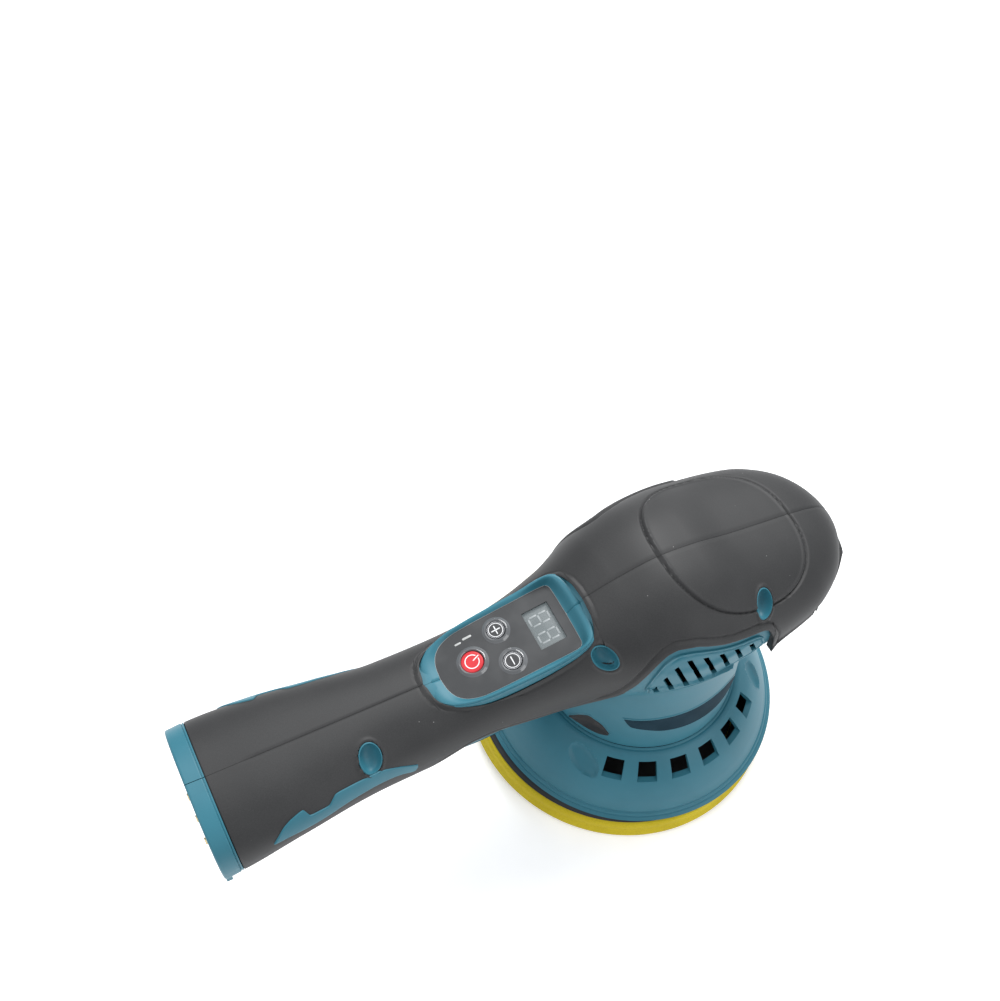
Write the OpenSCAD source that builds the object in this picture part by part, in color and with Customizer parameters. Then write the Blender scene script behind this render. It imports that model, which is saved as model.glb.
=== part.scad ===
// Cordless dual action polisher, built as the assembly that comes apart on a bench.
// Frame: origin at the centre of the pad's working face, +X towards the head, +Z up.
// The motor axis stands at x = orbit_offset; the pad spindle's axis is at x = 0.

/* [Body] */
// Wall thickness of the clamshell halves
wall = 2.6; // [2:0.1:3.2]
// Thickness of the soft overmould that stands proud of the shell
grip_t = 1.3; // [0.8:0.1:1.6]
// Radius of the barrel where it meets the skirt
barrel_r = 47.3; // [46:0.1:48]
// Height of the seam between the barrel and the skirt
barrel_z = 39.8; // [39:0.1:41]
// How far the barrel's wall leans in over its height
barrel_lean = 3.5; // [2:0.1:4]
// Roundness of the body's cross sections
roundness = 2.4; // [2:0.1:3]

/* [Control panel] */
// Pitch of the panel, rising towards the head
panel_pitch = 10.1; // [9:0.1:11]
// Width of the panel at its front
panel_w = 32; // [30:0.5:33]
// Width of the raised surround
surround_w = 38; // [36:0.5:40]
// Height of the surround above the panel
surround_h = 4.5; // [3:0.1:5]
// Diameter of the power button
power_d = 9.4; // [8.5:0.1:10]
// Diameter of the plus and minus buttons
step_d = 7.8; // [7:0.1:8.2]
// Length of the display window across the body
display_w = 18; // [16:0.5:19]
// Clearance between a button and its hole
button_gap = 0.3; // [0.25:0.05:0.4]

/* [Motor] */
// Outer diameter of the stator
stator_d = 58; // [54:1:60]
// Height of the stator's laminations
stator_h = 26; // [22:1:28]
// Inner diameter of the stator
stator_bore = 33; // [32:0.5:34]
// Air gap between the rotor and the stator
air_gap = 0.8; // [0.5:0.1:1]
// Number of stator teeth and coils
teeth = 9; // [9:3:12]
// Diameter of the cooling fan
fan_d = 72; // [66:1:76]
// Number of fan blades
blades = 13; // [9:1:17]
// Clearance of a shaft in a bearing that turns on it, on the radius
running_gap = 0.02; // [0.01:0.01:0.05]

/* [Pad and skirt] */
// Distance between the motor axis and the pad's axis, half the orbit
orbit_offset = 4; // [3:0.5:4]
// Diameter of the pad's working face
pad_d = 150; // [148:1:152]
// Thickness of the foam pad at its rim
pad_h = 10.6; // [9:0.1:10.8]
// Outer radius of the skirt's rim
skirt_r = 72.9; // [72:0.1:74]
// Height of the skirt's rim above the working face
skirt_z = 11.6; // [11.4:0.1:12]
// Number of vent windows on each side of the skirt
windows = 6; // [4:1:7]
// Angle between neighbouring vent windows
window_pitch = 16; // [14:0.5:16]
// Angle that one vent window spans
window_span = 9; // [7:0.5:10]

/* [Battery foot] */
// Rear end of the tool
rear_x = -211; // [-213:0.5:-210]
// Depth of the pocket that the battery's foot slides in
pocket_d = 8; // [7.5:0.5:8.5]
// Width of the pocket between its side walls
pocket_w = 52; // [50:1:53]
// Thickness of the lips that hold the battery's rails
lip_t = 2.5; // [2:0.1:3]

/* [Hidden] */
$fn = 64;

teal = "#5b939f";
charcoal = "#45474a";
steel = "#b9bcc0";
copper = "#b86b3a";
sleeve_r = 12.45;
// Room under the overmould for the facets of the shell
grip_gap = 0.72;

// Side outline of the body, and its half width, as [x, value] pairs from rear to nose.
top_z = [[rear_x, 120.2], [-203, 119.4], [-175, 118.3], [-150, 117.5], [-125, 116.7],
         [-112, 116.4], [-85, 118], [-60, 123], [-45, 131.3], [-25, 138.6], [-4, 142.7],
         [12, 140.2], [32, 134.7], [50, 131], [65, 127.8], [78, 123.5], [87, 118], [92, 109]];
bottom_z = [[rear_x, 70.8], [-203, 75], [-175, 81], [-150, 79], [-125, 71.5], [-100, 71],
            [-65, 72], [-25, 70], [20, 72], [45, 78], [65, 88], [80, 96], [88, 101], [92, 107]];
half_w = [[rear_x, 32], [-203, 32], [-175, 30], [-150, 26.8], [-125, 24.4], [-100, 24.2],
          [-85, 24], [-65, 24.5], [-45, 28.5], [-25, 37.7], [-5, 42.6], [20, 44], [45, 41],
          [65, 35], [78, 26.5], [87, 15], [92, 4]];

// Half width of the long body at x, z, drawn as a superellipse between its top and bottom,
// and inset by t.
function long_y(x, z, t) =
    let(hi = lookup(x, top_z) - t, lo = lookup(x, bottom_z) + t,
        u = abs(2 * (z - lo) / (hi - lo) - 1))
    u >= 1 ? 0 : (lookup(x, half_w) - t) * pow(1 - pow(u, roundness), 1 / roundness);
// Radius of the barrel at height z, and its half width at x, z, inset by t.
function barrel_at(z) = barrel_r - barrel_lean * (z - barrel_z) / 64;
function barrel_y(x, z, t) =
    z > 104 ? 0 : sqrt(max(0, pow(barrel_at(z) - t, 2) - pow(x - orbit_offset, 2)));
function body_y(x, z, t = 0) = max(long_y(x, z, t), barrel_y(x, z, t));

// Stations along x: even along the grip, then closer at the barrel's edges and the nose.
edge = 0.3;
function barrel_back(t) = orbit_offset - barrel_r + t + 0.2;
function barrel_front(t) = orbit_offset + barrel_r - t - 0.2;
function stations(t) =
    concat([for (x = [rear_x : 12.2 : -60]) x], [-53, -47, barrel_back(t) - edge],
           [barrel_back(t) + edge, -36, -30, -22, -12, 0, 12, 24, 33, 40],
           [barrel_front(t) - edge, barrel_front(t) + edge, 58, 66, 74, 81, 86, 90, 92]);
// Lowest point of the body at x: the barrel's rim, or the long body's underside.
function floor_z(x, t) =
    x > barrel_back(t) && x < barrel_front(t) ? barrel_z - (t > 0 ? 3 : 0)
                                               : lookup(x, bottom_z) + t;

levels = 13;
edge_y = 0.7;

// Heights between lo and hi, packed closer at both ends.
function spaced(lo, hi, n) = [for (i = [0 : n]) lo + (hi - lo) * (1 - cos(180 * i / n)) / 2];

// Triangles of a grid of nx by nz points, and the loop of point numbers round its edge.
function grid_faces(nx, nz) = [for (i = [0 : nx - 2]) for (j = [0 : nz - 2])
    let(a = i * nz + j, b = a + nz) each [[a, b, b + 1], [a, b + 1, a + 1]]];
function grid_rim(nx, nz) = concat([for (i = [0 : nx - 1]) i * nz],
                                   [for (j = [1 : nz - 1]) (nx - 1) * nz + j],
                                   [for (i = [nx - 2 : -1 : 0]) i * nz + nz - 1],
                                   [for (j = [nz - 2 : -1 : 1]) j]);
function flipped(faces) = [for (f = faces) [f[0], f[2], f[1]]];
function wall_faces(rim, shift) = [for (i = [0 : len(rim) - 1])
    let(a = rim[i], b = rim[(i + 1) % len(rim)], n = shift)
    each [[a, b + n, b], [a, a + n, b + n]]];

// Closed solid between the sheets y = outer and y = inner over a grid of x, z.
// rows holds one row for each x, of points [x, z, outer, inner].
module sheet_solid(rows) {
    nx = len(rows);
    nz = len(rows[0]);
    n = nx * nz;
    outer = [for (r = rows) for (p = r) [p[0], p[2], p[1]]];
    inner = [for (r = rows) for (p = r) [p[0], p[3], p[1]]];
    back = [for (f = flipped(grid_faces(nx, nz))) [f[0] + n, f[1] + n, f[2] + n]];
    polyhedron(concat(outer, inner),
               concat(grid_faces(nx, nz), back, wall_faces(grid_rim(nx, nz), n)));
}

// Closed solid between the sheet y = outer and the flat plane y = back.
module backed_solid(rows, back) {
    nx = len(rows);
    nz = len(rows[0]);
    outer = [for (r = rows) for (p = r) [p[0], p[2], p[1]]];
    rim = grid_rim(nx, nz);
    m = len(rim);
    flat = [for (k = rim) [outer[k][0], back, outer[k][2]]];
    n = nx * nz;
    walls = [for (i = [0 : m - 1]) let(j = (i + 1) % m)
             each [[rim[i], n + j, rim[j]], [rim[i], n + i, n + j]]];
    polyhedron(concat(outer, flat),
               concat(grid_faces(nx, nz), walls, [[for (i = [m - 1 : -1 : 0]) n + i]]));
}

// Solid half of the body on the +Y side, inset by t from the outside, from x = start on.
module half_body(t, back, start) {
    backed_solid([for (x = stations(t)) if (x > start - 0.1 && x < 92.1 - t * 1.4)
        [for (z = spaced(floor_z(x, t), lookup(x, top_z) - t, levels))
            [x, z, max(body_y(x, z, t), edge_y)]]], back);
}

// The panel's own frame: x along the panel from the display's rear edge, z along its normal.
module on_panel() {
    translate([-62.4, 0, 121.5]) rotate([0, -panel_pitch, 0]) children();
}

module panel_outline(w, rear, front) {
    hull() {
        translate([rear + w * 0.36, 0]) circle(w * 0.36, $fn = 32);
        for (s = [-1, 1]) {
            translate([front - 4, s * (w / 2 - 4)]) circle(4, $fn = 32);
            translate([rear + w * 0.75, s * (w / 2 - 7)]) circle(7, $fn = 32);
        }
    }
}

// Screw bosses of the clamshell: [x, z] of each, with their length to the outside.
bosses = [[-192, 98], [-150, 98], [-118, 84], [-52, 84], [70, 110]];
boss_r = 4;
screw_r = 1.9;

module motor_axis() {
    translate([orbit_offset, 0, 0]) children();
}

module housing_half() {
    difference() {
        union() {
            difference() {
                half_body(0, 0, rear_x);
                half_body(wall, -1, rear_x + pocket_d + 3);
            }
            // Raised surround of the control panel
            intersection() {
                on_panel() translate([0, 0, -6]) linear_extrude(6 + surround_h)
                    panel_outline(surround_w, -49.5, 24);
                translate([-140, 0, 90]) cube([140, 40, 50]);
            }
            // Screw bosses
            for (b = bosses) hull() {
                translate([b[0], 0, b[1]]) rotate([-90, 0, 0])
                    cylinder(r = boss_r, h = body_y(b[0], b[1]) - wall * 0.75);
                translate([b[0] - 0.8, body_y(b[0], b[1]) - wall - 6, b[1] - 5])
                    cube([1.6, 6, 8]);
            }
            // Ribs that hold the stator, and the seat of the upper bearing
            intersection() {
                motor_axis() {
                    for (z = [stator_z + 3, stator_z + stator_h - 6]) translate([0, 0, z])
                        difference() {
                            cylinder(r = barrel_at(z) - wall + 0.8, h = 3);
                            translate([0, 0, -1]) cylinder(d = stator_d + 0.7, h = 5);
                        }
                    translate([0, 0, 113]) difference() {
                        cylinder(r = 40, h = 3);
                        translate([0, 0, -1]) cylinder(r = sleeve_r + 0.15, h = 5);
                    }
                    translate([0, 0, 113]) difference() {
                        cylinder(r = 16, h = 11);
                        translate([0, 0, -1]) cylinder(r = sleeve_r + 0.15, h = 13);
                    }
                }
                translate([-60, 0, 40]) cube([120, 60, 90]);
            }
        }
        // Room for the panel and what is under it
        on_panel() translate([0, 0, -9.5]) linear_extrude(24)
            panel_outline(panel_w + 0.6, -42.4, 16.9);
        // Pocket for the battery's foot, open at the bottom and at the rear
        difference() {
            translate([rear_x - 1, -1, 60]) cube([pocket_d + 1, pocket_w / 2 + 1, 52]);
            translate([rear_x, pocket_w / 2 - 4, 60]) cube([lip_t, 5, 52]);
        }
        // Windows that the terminal blades and the power leads pass through
        translate([rear_x, -1, 86]) cube([14, 14, 20]);
        // Screw holes with counterbores from the outside
        for (b = bosses) translate([b[0], -1, b[1]]) rotate([-90, 0, 0]) {
            cylinder(r = screw_r, h = 60);
            translate([0, 0, 12]) cylinder(r = 3.4, h = 60);
        }
        // Leaf vents beside the motor, cut slantwise through the wall
        for (i = [0 : 7]) translate([-14 + i * 5.4, 34, 106]) rotate([0, 18, 0])
            translate([-1.1, 0, -(6 + 3 * sin(22.5 * i))])
                cube([2.2, 14, 12 + 6 * sin(22.5 * i)]);
    }
}

module housing_left() { color(teal) housing_half($fn = 24); }
module housing_right() { color(teal) mirror([0, 1, 0]) housing_half($fn = 24); }

// Lower and upper edges of the soft overmould, as [x, z] pairs.
grip_low = [[-202, 77], [-175, 83], [-150, 81], [-115, 74], [-100, 76], [-80, 90], [-57, 92],
            [-40, 98], [-25, 106], [-16, 124], [0, 124], [20, 120], [45, 116], [70, 112]];
grip_top = [[-202, 0.6], [-120, 0.6], [-112, 7], [-85, 9], [-60, 11], [-46, 13], [-34, 0.6],
            [70, 0.6]];
module grip_half() {
    xs = [for (x = stations(0)) if (x > -202 && x < 70) x];
    sheet_solid([for (x = concat([-202], xs))
        let(lo = lookup(x, grip_low), hi = lookup(x, top_z) - lookup(x, grip_top))
        [for (z = spaced(lo, hi, 11))
            let(y = max(body_y(x, z), edge_y)) [x, z, y + grip_t, y + grip_gap]]]);
}
module grip_left() { color(charcoal) grip_half(); }
module grip_right() { color(charcoal) mirror([0, 1, 0]) grip_half(); }

power_at = [-27.2, 0];
plus_at = [-12.5, 7.6];
minus_at = [-12.5, -7.6];
lamps_at = [[-28.9, 10], [-24.4, 10.8]];
panel_t = 1.6;
display_l = 12;

module control_panel() {
    color(charcoal) on_panel() translate([0, 0, -panel_t]) difference() {
        linear_extrude(panel_t) panel_outline(panel_w, -42, 16.5);
        translate([power_at[0], power_at[1], -1]) cylinder(d = power_d + 2 * button_gap, h = 4);
        for (p = [plus_at, minus_at]) translate([p[0], p[1], -1])
            cylinder(d = step_d + 2 * button_gap, h = 4);
        translate([0, -display_w / 2, -1]) cube([display_l, display_w, 4]);
        for (p = lamps_at) translate([p[0], p[1], -1]) cylinder(r = 1, h = 4);
    }
}
module display_window() {
    color([0.75, 0.8, 0.8, 0.6]) on_panel()
        translate([0.05, -display_w / 2 + 0.05, -panel_t])
            cube([display_l - 0.1, display_w - 0.1, panel_t + 0.2]);
}
module segment_display() {
    color("#20242a") on_panel() translate([0.6, -8, -5.2]) cube([10.8, 16, 3.4]);
}
module panel_circuit_board() {
    color("#2d6a43") on_panel() translate([0, 0, -6.9]) linear_extrude(1.6)
        panel_outline(panel_w - 4, -40, 14.5);
}
module tact_switches() {
    color("#2a2c2e") on_panel() for (p = [power_at, plus_at, minus_at])
        translate([p[0] - 3, p[1] - 3, -5.2]) {
            cube([6, 6, 1.2]);
            translate([3, 3, 1.1]) cylinder(r = 1.7, h = 0.5);
        }
}
// A button: cap through the panel with a wider foot beneath it, over its switch.
module button(d, h) {
    translate([0, 0, -2.9]) cylinder(d = d, h = 2.9 + h);
    translate([0, 0, -2.9]) cylinder(d = d + 2.4, h = 1);
}
module power_button() {
    color("#d7403f") on_panel() translate([power_at[0], power_at[1], 0]) button(power_d, 1);
}
module plus_button() {
    color("#7d8083") on_panel() translate([plus_at[0], plus_at[1], 0]) button(step_d, 0.9);
}
module minus_button() {
    color("#7d8083") on_panel() translate([minus_at[0], minus_at[1], 0]) button(step_d, 0.9);
}
module indicator_lights() {
    color("white") on_panel() for (p = lamps_at) translate([p[0], p[1], -5.2])
        cylinder(r = 0.95, h = 5.3);
}

// Blank plate on the barrel, bent to its radius, and the folded inlay behind it.
module badge() {
    motor_axis() intersection() {
        translate([0, 0, 55]) difference() {
            cylinder(r = barrel_at(72) + 1.4, h = 24);
            translate([0, 0, -1]) cylinder(r = barrel_at(55) + 0.02, h = 26);
        }
        rotate([0, 0, 52]) translate([0, 0, 50]) cube([60, 60, 40]);
        translate([-36, 0, 55]) rotate([0, -12, 0]) cube([80, 60, 15]);
    }
}
module badge_left() { color("#3d4a55") badge(); }
module badge_right() { color("#3d4a55") mirror([0, 1, 0]) badge(); }
module inlay() {
    motor_axis() intersection() {
        translate([0, 0, 43]) difference() {
            cylinder(r = barrel_at(43) + 0.8, h = 13);
            translate([0, 0, -1]) cylinder(r = barrel_at(43) + 0.02, h = 15);
        }
        rotate([0, 0, 136]) translate([0, 0, 40]) cube([60, 22, 20]);
    }
}
module inlay_left() { color(charcoal) inlay(); }
module inlay_right() { color(charcoal) mirror([0, 1, 0]) inlay(); }

// Skirt: a thin flared cone with a row of windows on each side.
skirt_profile = [[47.3, 39.6], [50, 38.9], [53.1, 36.9], [57.5, 33.4], [62, 28.4],
                 [66.5, 21.5], [70, 14.6], [skirt_r, skirt_z]];
skirt_inside = [[skirt_r - 2.6, skirt_z], [67.7, 14.6], [64.2, 20.6], [59.9, 27.2],
                [55.6, 32], [51.6, 35.2], [49, 36.9], [44.8, 37.4]];
skirt_lugs = [-147, -33, 33, 147];
module skirt() {
    color(teal) motor_axis() difference() {
        union() {
            rotate_extrude($fn = 96) polygon(concat(skirt_profile, skirt_inside, [[44.8, 39.6]]));
            for (a = skirt_lugs) rotate([0, 0, a]) translate([41.5, 0, 36.6])
                cylinder(r = 4.2, h = 3);
        }
        for (s = [-1, 1]) for (i = [0 : windows - 1])
            rotate([0, 0, s * 90 + (i - (windows - 1) / 2) * window_pitch])
                translate([50, -53 * sin(window_span / 2), 29.5])
                    cube([14, 106 * sin(window_span / 2), 7]);
        for (a = skirt_lugs) rotate([0, 0, a]) translate([41.5, 0, 30]) cylinder(r = 1.8, h = 20);
        // Working room of the counterweight and the fan's air
        translate([0, 0, 30]) cylinder(r = 37.2, h = 12);
    }
}
module pan_screw(r, h, head_r, head_h) {
    cylinder(r = r, h = h);
    translate([0, 0, -head_h]) difference() {
        cylinder(r = head_r, h = head_h);
        translate([0, 0, -1]) cylinder(r = r * 0.9, h = 1 + head_h * 0.6, $fn = 6);
    }
}
module skirt_screws() {
    color(steel) motor_axis() for (a = skirt_lugs) rotate([0, 0, a])
        translate([41.5, 0, 36.5]) pan_screw(1.7, 11, 3.2, 2);
}
module housing_screws() {
    color(steel) for (b = bosses) translate([b[0], -12, b[1]]) rotate([-90, 0, 0])
        pan_screw(1.8, 22, 3.2, 2.6);
}

stator_z = 78;
coil_over = 6;
coil_t = 2.1;
tooth_w = 5;
slot_inner = stator_bore / 2 + 1.8;
slot_outer = slot_inner + 6.6;
module stator_core() {
    color("#8b8f94") motor_axis() translate([0, 0, stator_z]) linear_extrude(stator_h)
        difference() {
            circle(d = stator_d);
            circle(d = stator_bore);
            // Slots between the teeth, open to the bore
            difference() {
                circle(r = slot_outer);
                circle(r = slot_inner);
                for (i = [0 : teeth - 1]) rotate(i * 360 / teeth)
                    translate([0, -tooth_w / 2]) square([slot_outer + 1, tooth_w]);
            }
            for (i = [0 : teeth - 1]) rotate((i + 0.5) * 360 / teeth)
                translate([stator_bore / 2 - 1, -0.8]) square([4, 1.6]);
        }
}
module stator_coils() {
    inside = tooth_w + 0.4;
    color(copper) motor_axis() translate([0, 0, stator_z - coil_over])
        for (i = [0 : teeth - 1]) rotate([0, 0, i * 360 / teeth])
            translate([slot_inner + 0.4, -inside / 2 - coil_t, 0]) difference() {
                cube([slot_outer - slot_inner - 1.2, inside + 2 * coil_t, stator_h + 2 * coil_over]);
                translate([-1, coil_t, coil_over - 0.2]) cube([8, inside, stator_h + 0.4]);
            }
}

bracket_z = 47;
bracket_r = 42.4;
bracket_screw_at = 40.5;
lower_bearing_r = 16;
module bearing_bracket() {
    color("#a9adb2") motor_axis() difference() {
        union() {
            translate([0, 0, bracket_z + 4]) cylinder(r = bracket_r, h = 4);
            translate([0, 0, bracket_z]) cylinder(r = 20, h = 13);
            difference() {
                translate([0, 0, bracket_z]) cylinder(r = bracket_r, h = 8);
                translate([0, 0, bracket_z - 1]) cylinder(r = 38.6, h = 10);
            }
        }
        translate([0, 0, bracket_z + 1.5]) cylinder(r = lower_bearing_r, h = 20);
        translate([0, 0, bracket_z - 1]) cylinder(r = 12.5, h = 20);
        for (i = [0 : 7]) rotate([0, 0, 22.5 + i * 45]) translate([30, 0, 40])
            cylinder(r = 6.5, h = 30);
        for (a = skirt_lugs) rotate([0, 0, a]) translate([41.5, 0, 40]) cylinder(r = 1.71, h = 30);
        for (a = [0, 90, 180, 270]) rotate([0, 0, a]) translate([bracket_screw_at, 0, 40])
            cylinder(r = 1.6, h = 30);
    }
}
module bracket_screws() {
    color(steel) motor_axis() for (a = [0, 90, 180, 270]) rotate([0, 0, a])
        translate([bracket_screw_at, 0, bracket_z]) pan_screw(1.58, 14, 2.1, 2.2);
}

// A shielded ball bearing: inner and outer rings joined by its shields, with grooves.
module ball_bearing(bore, outer, h) {
    land = (outer - bore) * 0.24;
    rotate_extrude($fn = 64) polygon([
        [bore, 0], [bore + land, 0], [bore + land, 0.6], [outer - land, 0.6], [outer - land, 0],
        [outer, 0], [outer, h], [outer - land, h], [outer - land, h - 0.6],
        [bore + land, h - 0.6], [bore + land, h], [bore, h]]);
}
journal_top = 4;
journal_low = 6;
module upper_bearing() {
    color(steel) motor_axis() translate([0, 0, 115])
        ball_bearing(journal_top + running_gap, 11, 7);
}
module bearing_sleeve() {
    color("#2b2b2b") motor_axis() translate([0, 0, 114]) difference() {
        cylinder(r = sleeve_r, h = 9);
        translate([0, 0, 1]) cylinder(r = 11, h = 9);
        translate([0, 0, -1]) cylinder(r = 7, h = 9);
    }
}
module lower_bearing() {
    color(steel) motor_axis() translate([0, 0, bracket_z + 1.5])
        ball_bearing(journal_low + running_gap, lower_bearing_r, 10);
}

rotor_r = stator_bore / 2 - air_gap;
magnet_t = 3;
shaft_r = 5;
module rotor_core() {
    color("#777b80") motor_axis() translate([0, 0, stator_z]) difference() {
        cylinder(r = rotor_r - magnet_t, h = stator_h);
        translate([0, 0, -1]) cylinder(r = shaft_r, h = stator_h + 2);
    }
}
module rotor_magnets() {
    color("#54585d") motor_axis() translate([0, 0, stator_z + 0.5]) difference() {
        cylinder(r = rotor_r, h = stator_h - 1);
        translate([0, 0, -1]) cylinder(r = rotor_r - magnet_t, h = stator_h + 2);
        for (i = [0 : 5]) rotate([0, 0, i * 60]) translate([8, -0.5, -1]) cube([12, 1, 40]);
    }
}
module motor_shaft() {
    color(steel) motor_axis() {
        translate([0, 0, 40]) cylinder(r = journal_low, h = 22);
        translate([0, 0, 61]) cylinder(r = shaft_r, h = 51);
        translate([0, 0, 111]) cylinder(r = journal_top, h = 10.6);
    }
}
module cooling_fan() {
    color("#33363a") motor_axis() translate([0, 0, 63]) {
        difference() {
            union() {
                cylinder(d = fan_d, h = 1.6);
                cylinder(r = 9, h = 8);
            }
            translate([0, 0, -1]) cylinder(r = shaft_r, h = 12);
        }
        for (i = [0 : blades - 1]) rotate([0, 0, i * 360 / blades])
            translate([fan_d / 2 - 18, 0, 1.5]) rotate([0, 0, 28])
                translate([0, -0.7, 0]) cube([16.5, 1.4, 6.5]);
    }
}

spindle_bearing_r = 13;
spindle_r = 5;
module counterweight() {
    color("#8e8a84") difference() {
        union() {
            translate([orbit_offset / 2, 0, 18]) cylinder(r = 18.5, h = 24);
            motor_axis() translate([0, 0, 20]) intersection() {
                cylinder(r = 36.5, h = 10);
                translate([8, -34, -1]) cube([40, 68, 12]);
            }
            translate([orbit_offset / 2, -14, 20]) cube([24, 28, 10]);
        }
        translate([0, 0, 17]) cylinder(r = spindle_bearing_r, h = 22);
        motor_axis() translate([0, 0, 38]) cylinder(r = journal_low, h = 6);
    }
}
module spindle_bearing_lower() {
    color(steel) translate([0, 0, 18.2])
        ball_bearing(spindle_r + running_gap, spindle_bearing_r, 8);
}
module bearing_spacer() {
    color("#9a9da1") translate([0, 0, 26.2]) difference() {
        cylinder(r = spindle_bearing_r, h = 1.6);
        translate([0, 0, -1]) cylinder(r = spindle_bearing_r - 2.4, h = 4);
    }
}
module spindle_bearing_upper() {
    color(steel) translate([0, 0, 27.8])
        ball_bearing(spindle_r + running_gap, spindle_bearing_r, 8);
}
pad_thread_r = 3.4;
module pad_spindle() {
    color(steel) difference() {
        union() {
            translate([0, 0, 11.6]) cylinder(r = 15, h = 3);
            translate([0, 0, 14.5]) cylinder(r = 7.5, h = 3.4);
            translate([0, 0, 17.8]) cylinder(r = spindle_r, h = 20.2);
        }
        translate([0, 0, 10]) cylinder(r = pad_thread_r, h = 18);
    }
}
module retaining_ring() {
    color("#5d6064") translate([0, 0, 36.2]) difference() {
        cylinder(r = 7.4, h = 1);
        translate([0, 0, -1]) cylinder(r = spindle_r, h = 4);
        translate([0, -1.6, -1]) cube([10, 3.2, 4]);
    }
}
module pad_washer() {
    color(steel) translate([0, 0, 6.2]) difference() {
        cylinder(r = 8.5, h = 1.6);
        translate([0, 0, -1]) cylinder(r = pad_thread_r + 0.1, h = 4);
    }
}
module pad_screw() {
    color("#3b3d40") difference() {
        union() {
            translate([0, 0, 6]) cylinder(r = pad_thread_r - 0.02, h = 18);
            translate([0, 0, 2.6]) cylinder(r = 6.2, h = 3.6);
        }
        translate([0, 0, 1]) cylinder(r = 2.9, h = 4, $fn = 6);
    }
}
plate_r = 58;
module backing_plate() {
    color("#2e3033") difference() {
        union() {
            translate([0, 0, 7.8]) cylinder(r = plate_r, h = 2.4);
            translate([0, 0, 7.8]) cylinder(r = 17, h = 3.8);
            for (i = [0 : 7]) rotate([0, 0, i * 45]) translate([14, -1, 10.1]) cube([36, 2, 1.3]);
        }
        translate([0, 0, 6]) cylinder(r = pad_thread_r + 0.1, h = 8);
    }
}
module foam_pad() {
    color("#d2bb31") difference() {
        rotate_extrude($fn = 96) polygon([
            [0, 1.2], [pad_d / 2 - 0.6, 1.2], [pad_d / 2, 2.2], [pad_d / 2 - 0.9, 4.6],
            [pad_d / 2 - 1.8, 6], [pad_d / 2 - 1.6, 8.2], [pad_d / 2 - 2.6, pad_h - 0.4],
            [pad_d / 2 - 4, pad_h], [0, pad_h]]);
        translate([0, 0, 7.8]) cylinder(r = plate_r + 0.1, h = 10);
        translate([0, 0, -1]) cylinder(r = 10, h = 20);
    }
}
module hook_face() {
    color("#c9b85a") cylinder(r = pad_d / 2 - 0.6, h = 1.2);
}

// Electronics in the handle, behind the screw boss in its middle
tray_x = -187;
tray_l = 31.5;
tray_w = 34;
tray_z = 87;
board_z = 91;
module controller_tray() {
    color("#3a3d40") translate([tray_x, -tray_w / 2, tray_z]) difference() {
        cube([tray_l, tray_w, 15]);
        translate([1.5, 1.5, 1.5]) cube([tray_l - 3, tray_w - 3, 20]);
    }
}
module controller_board() {
    color("#2d6a43") translate([tray_x + 2, 2 - tray_w / 2, board_z])
        cube([tray_l - 4, tray_w - 4, 1.6]);
}
module capacitors() {
    color("#44484f") for (x = [6.8, 15.8, 24.8]) translate([tray_x + x, -7, board_z + 1.6])
        cylinder(r = 4.4, h = 14);
}
module terminal_block() {
    color("#26282a") translate([rear_x + 0.6, -15, 86.2]) {
        translate([0, 0, -2]) cube([pocket_d - 0.7, 30, 22.6]);
        translate([pocket_d - 1, 3, 0.5]) cube([4, 23.8, 18.6]);
    }
}
module terminal_blades() {
    color("#c9a25a") for (y = [-10, 0, 10]) translate([rear_x - 0.4, y - 0.5, 78])
        cube([4.6, 1, 6.2]);
}
// A soft lead: round links between the points of a route
module lead(route, r) {
    for (i = [0 : len(route) - 2]) hull() {
        translate(route[i]) sphere(r, $fn = 10);
        translate(route[i + 1]) sphere(r, $fn = 10);
    }
}
module power_leads() {
    color("#a33b35") for (y = [-5, 5])
        lead([[rear_x + 13, y, 100], [-194, y, 104], [-187.5, y * 1.3, 104]], 1.3);
}
module motor_leads() {
    color("#6b7a3a") for (y = [-7, 0, 7])
        lead([[-154, y, 89.5], [-124.5, y, 90.5], [-60, y, 90.5]], 1.2);
}
module panel_cable() {
    color("#8a8d90") translate([-124, 9, 96]) cube([26, 8, 0.8]);
}

housing_left();
housing_right();
grip_left();
grip_right();
control_panel();
display_window();
segment_display();
panel_circuit_board();
tact_switches();
power_button();
plus_button();
minus_button();
indicator_lights();
badge_left();
badge_right();
inlay_left();
inlay_right();
skirt();
skirt_screws();
housing_screws();
stator_core();
stator_coils();
bearing_bracket();
bracket_screws();
upper_bearing();
bearing_sleeve();
lower_bearing();
rotor_core();
rotor_magnets();
motor_shaft();
cooling_fan();
counterweight();
spindle_bearing_upper();
spindle_bearing_lower();
bearing_spacer();
pad_spindle();
retaining_ring();
pad_screw();
pad_washer();
backing_plate();
foam_pad();
hook_face();
controller_tray();
controller_board();
capacitors();
terminal_block();
terminal_blades();
power_leads();
motor_leads();
panel_cable();
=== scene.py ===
"""Looks for a cordless dual action polisher: a long grip, a raised control panel, a vented skirt
and a yellow foam pad. Shapes are worked out in millimetres and scaled to metres when a mesh is
made. +X runs to the head, +Z up, and the pad's face is at the origin."""

import math

import bmesh
import bpy
import numpy as np
from mathutils import Matrix, Vector


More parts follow.
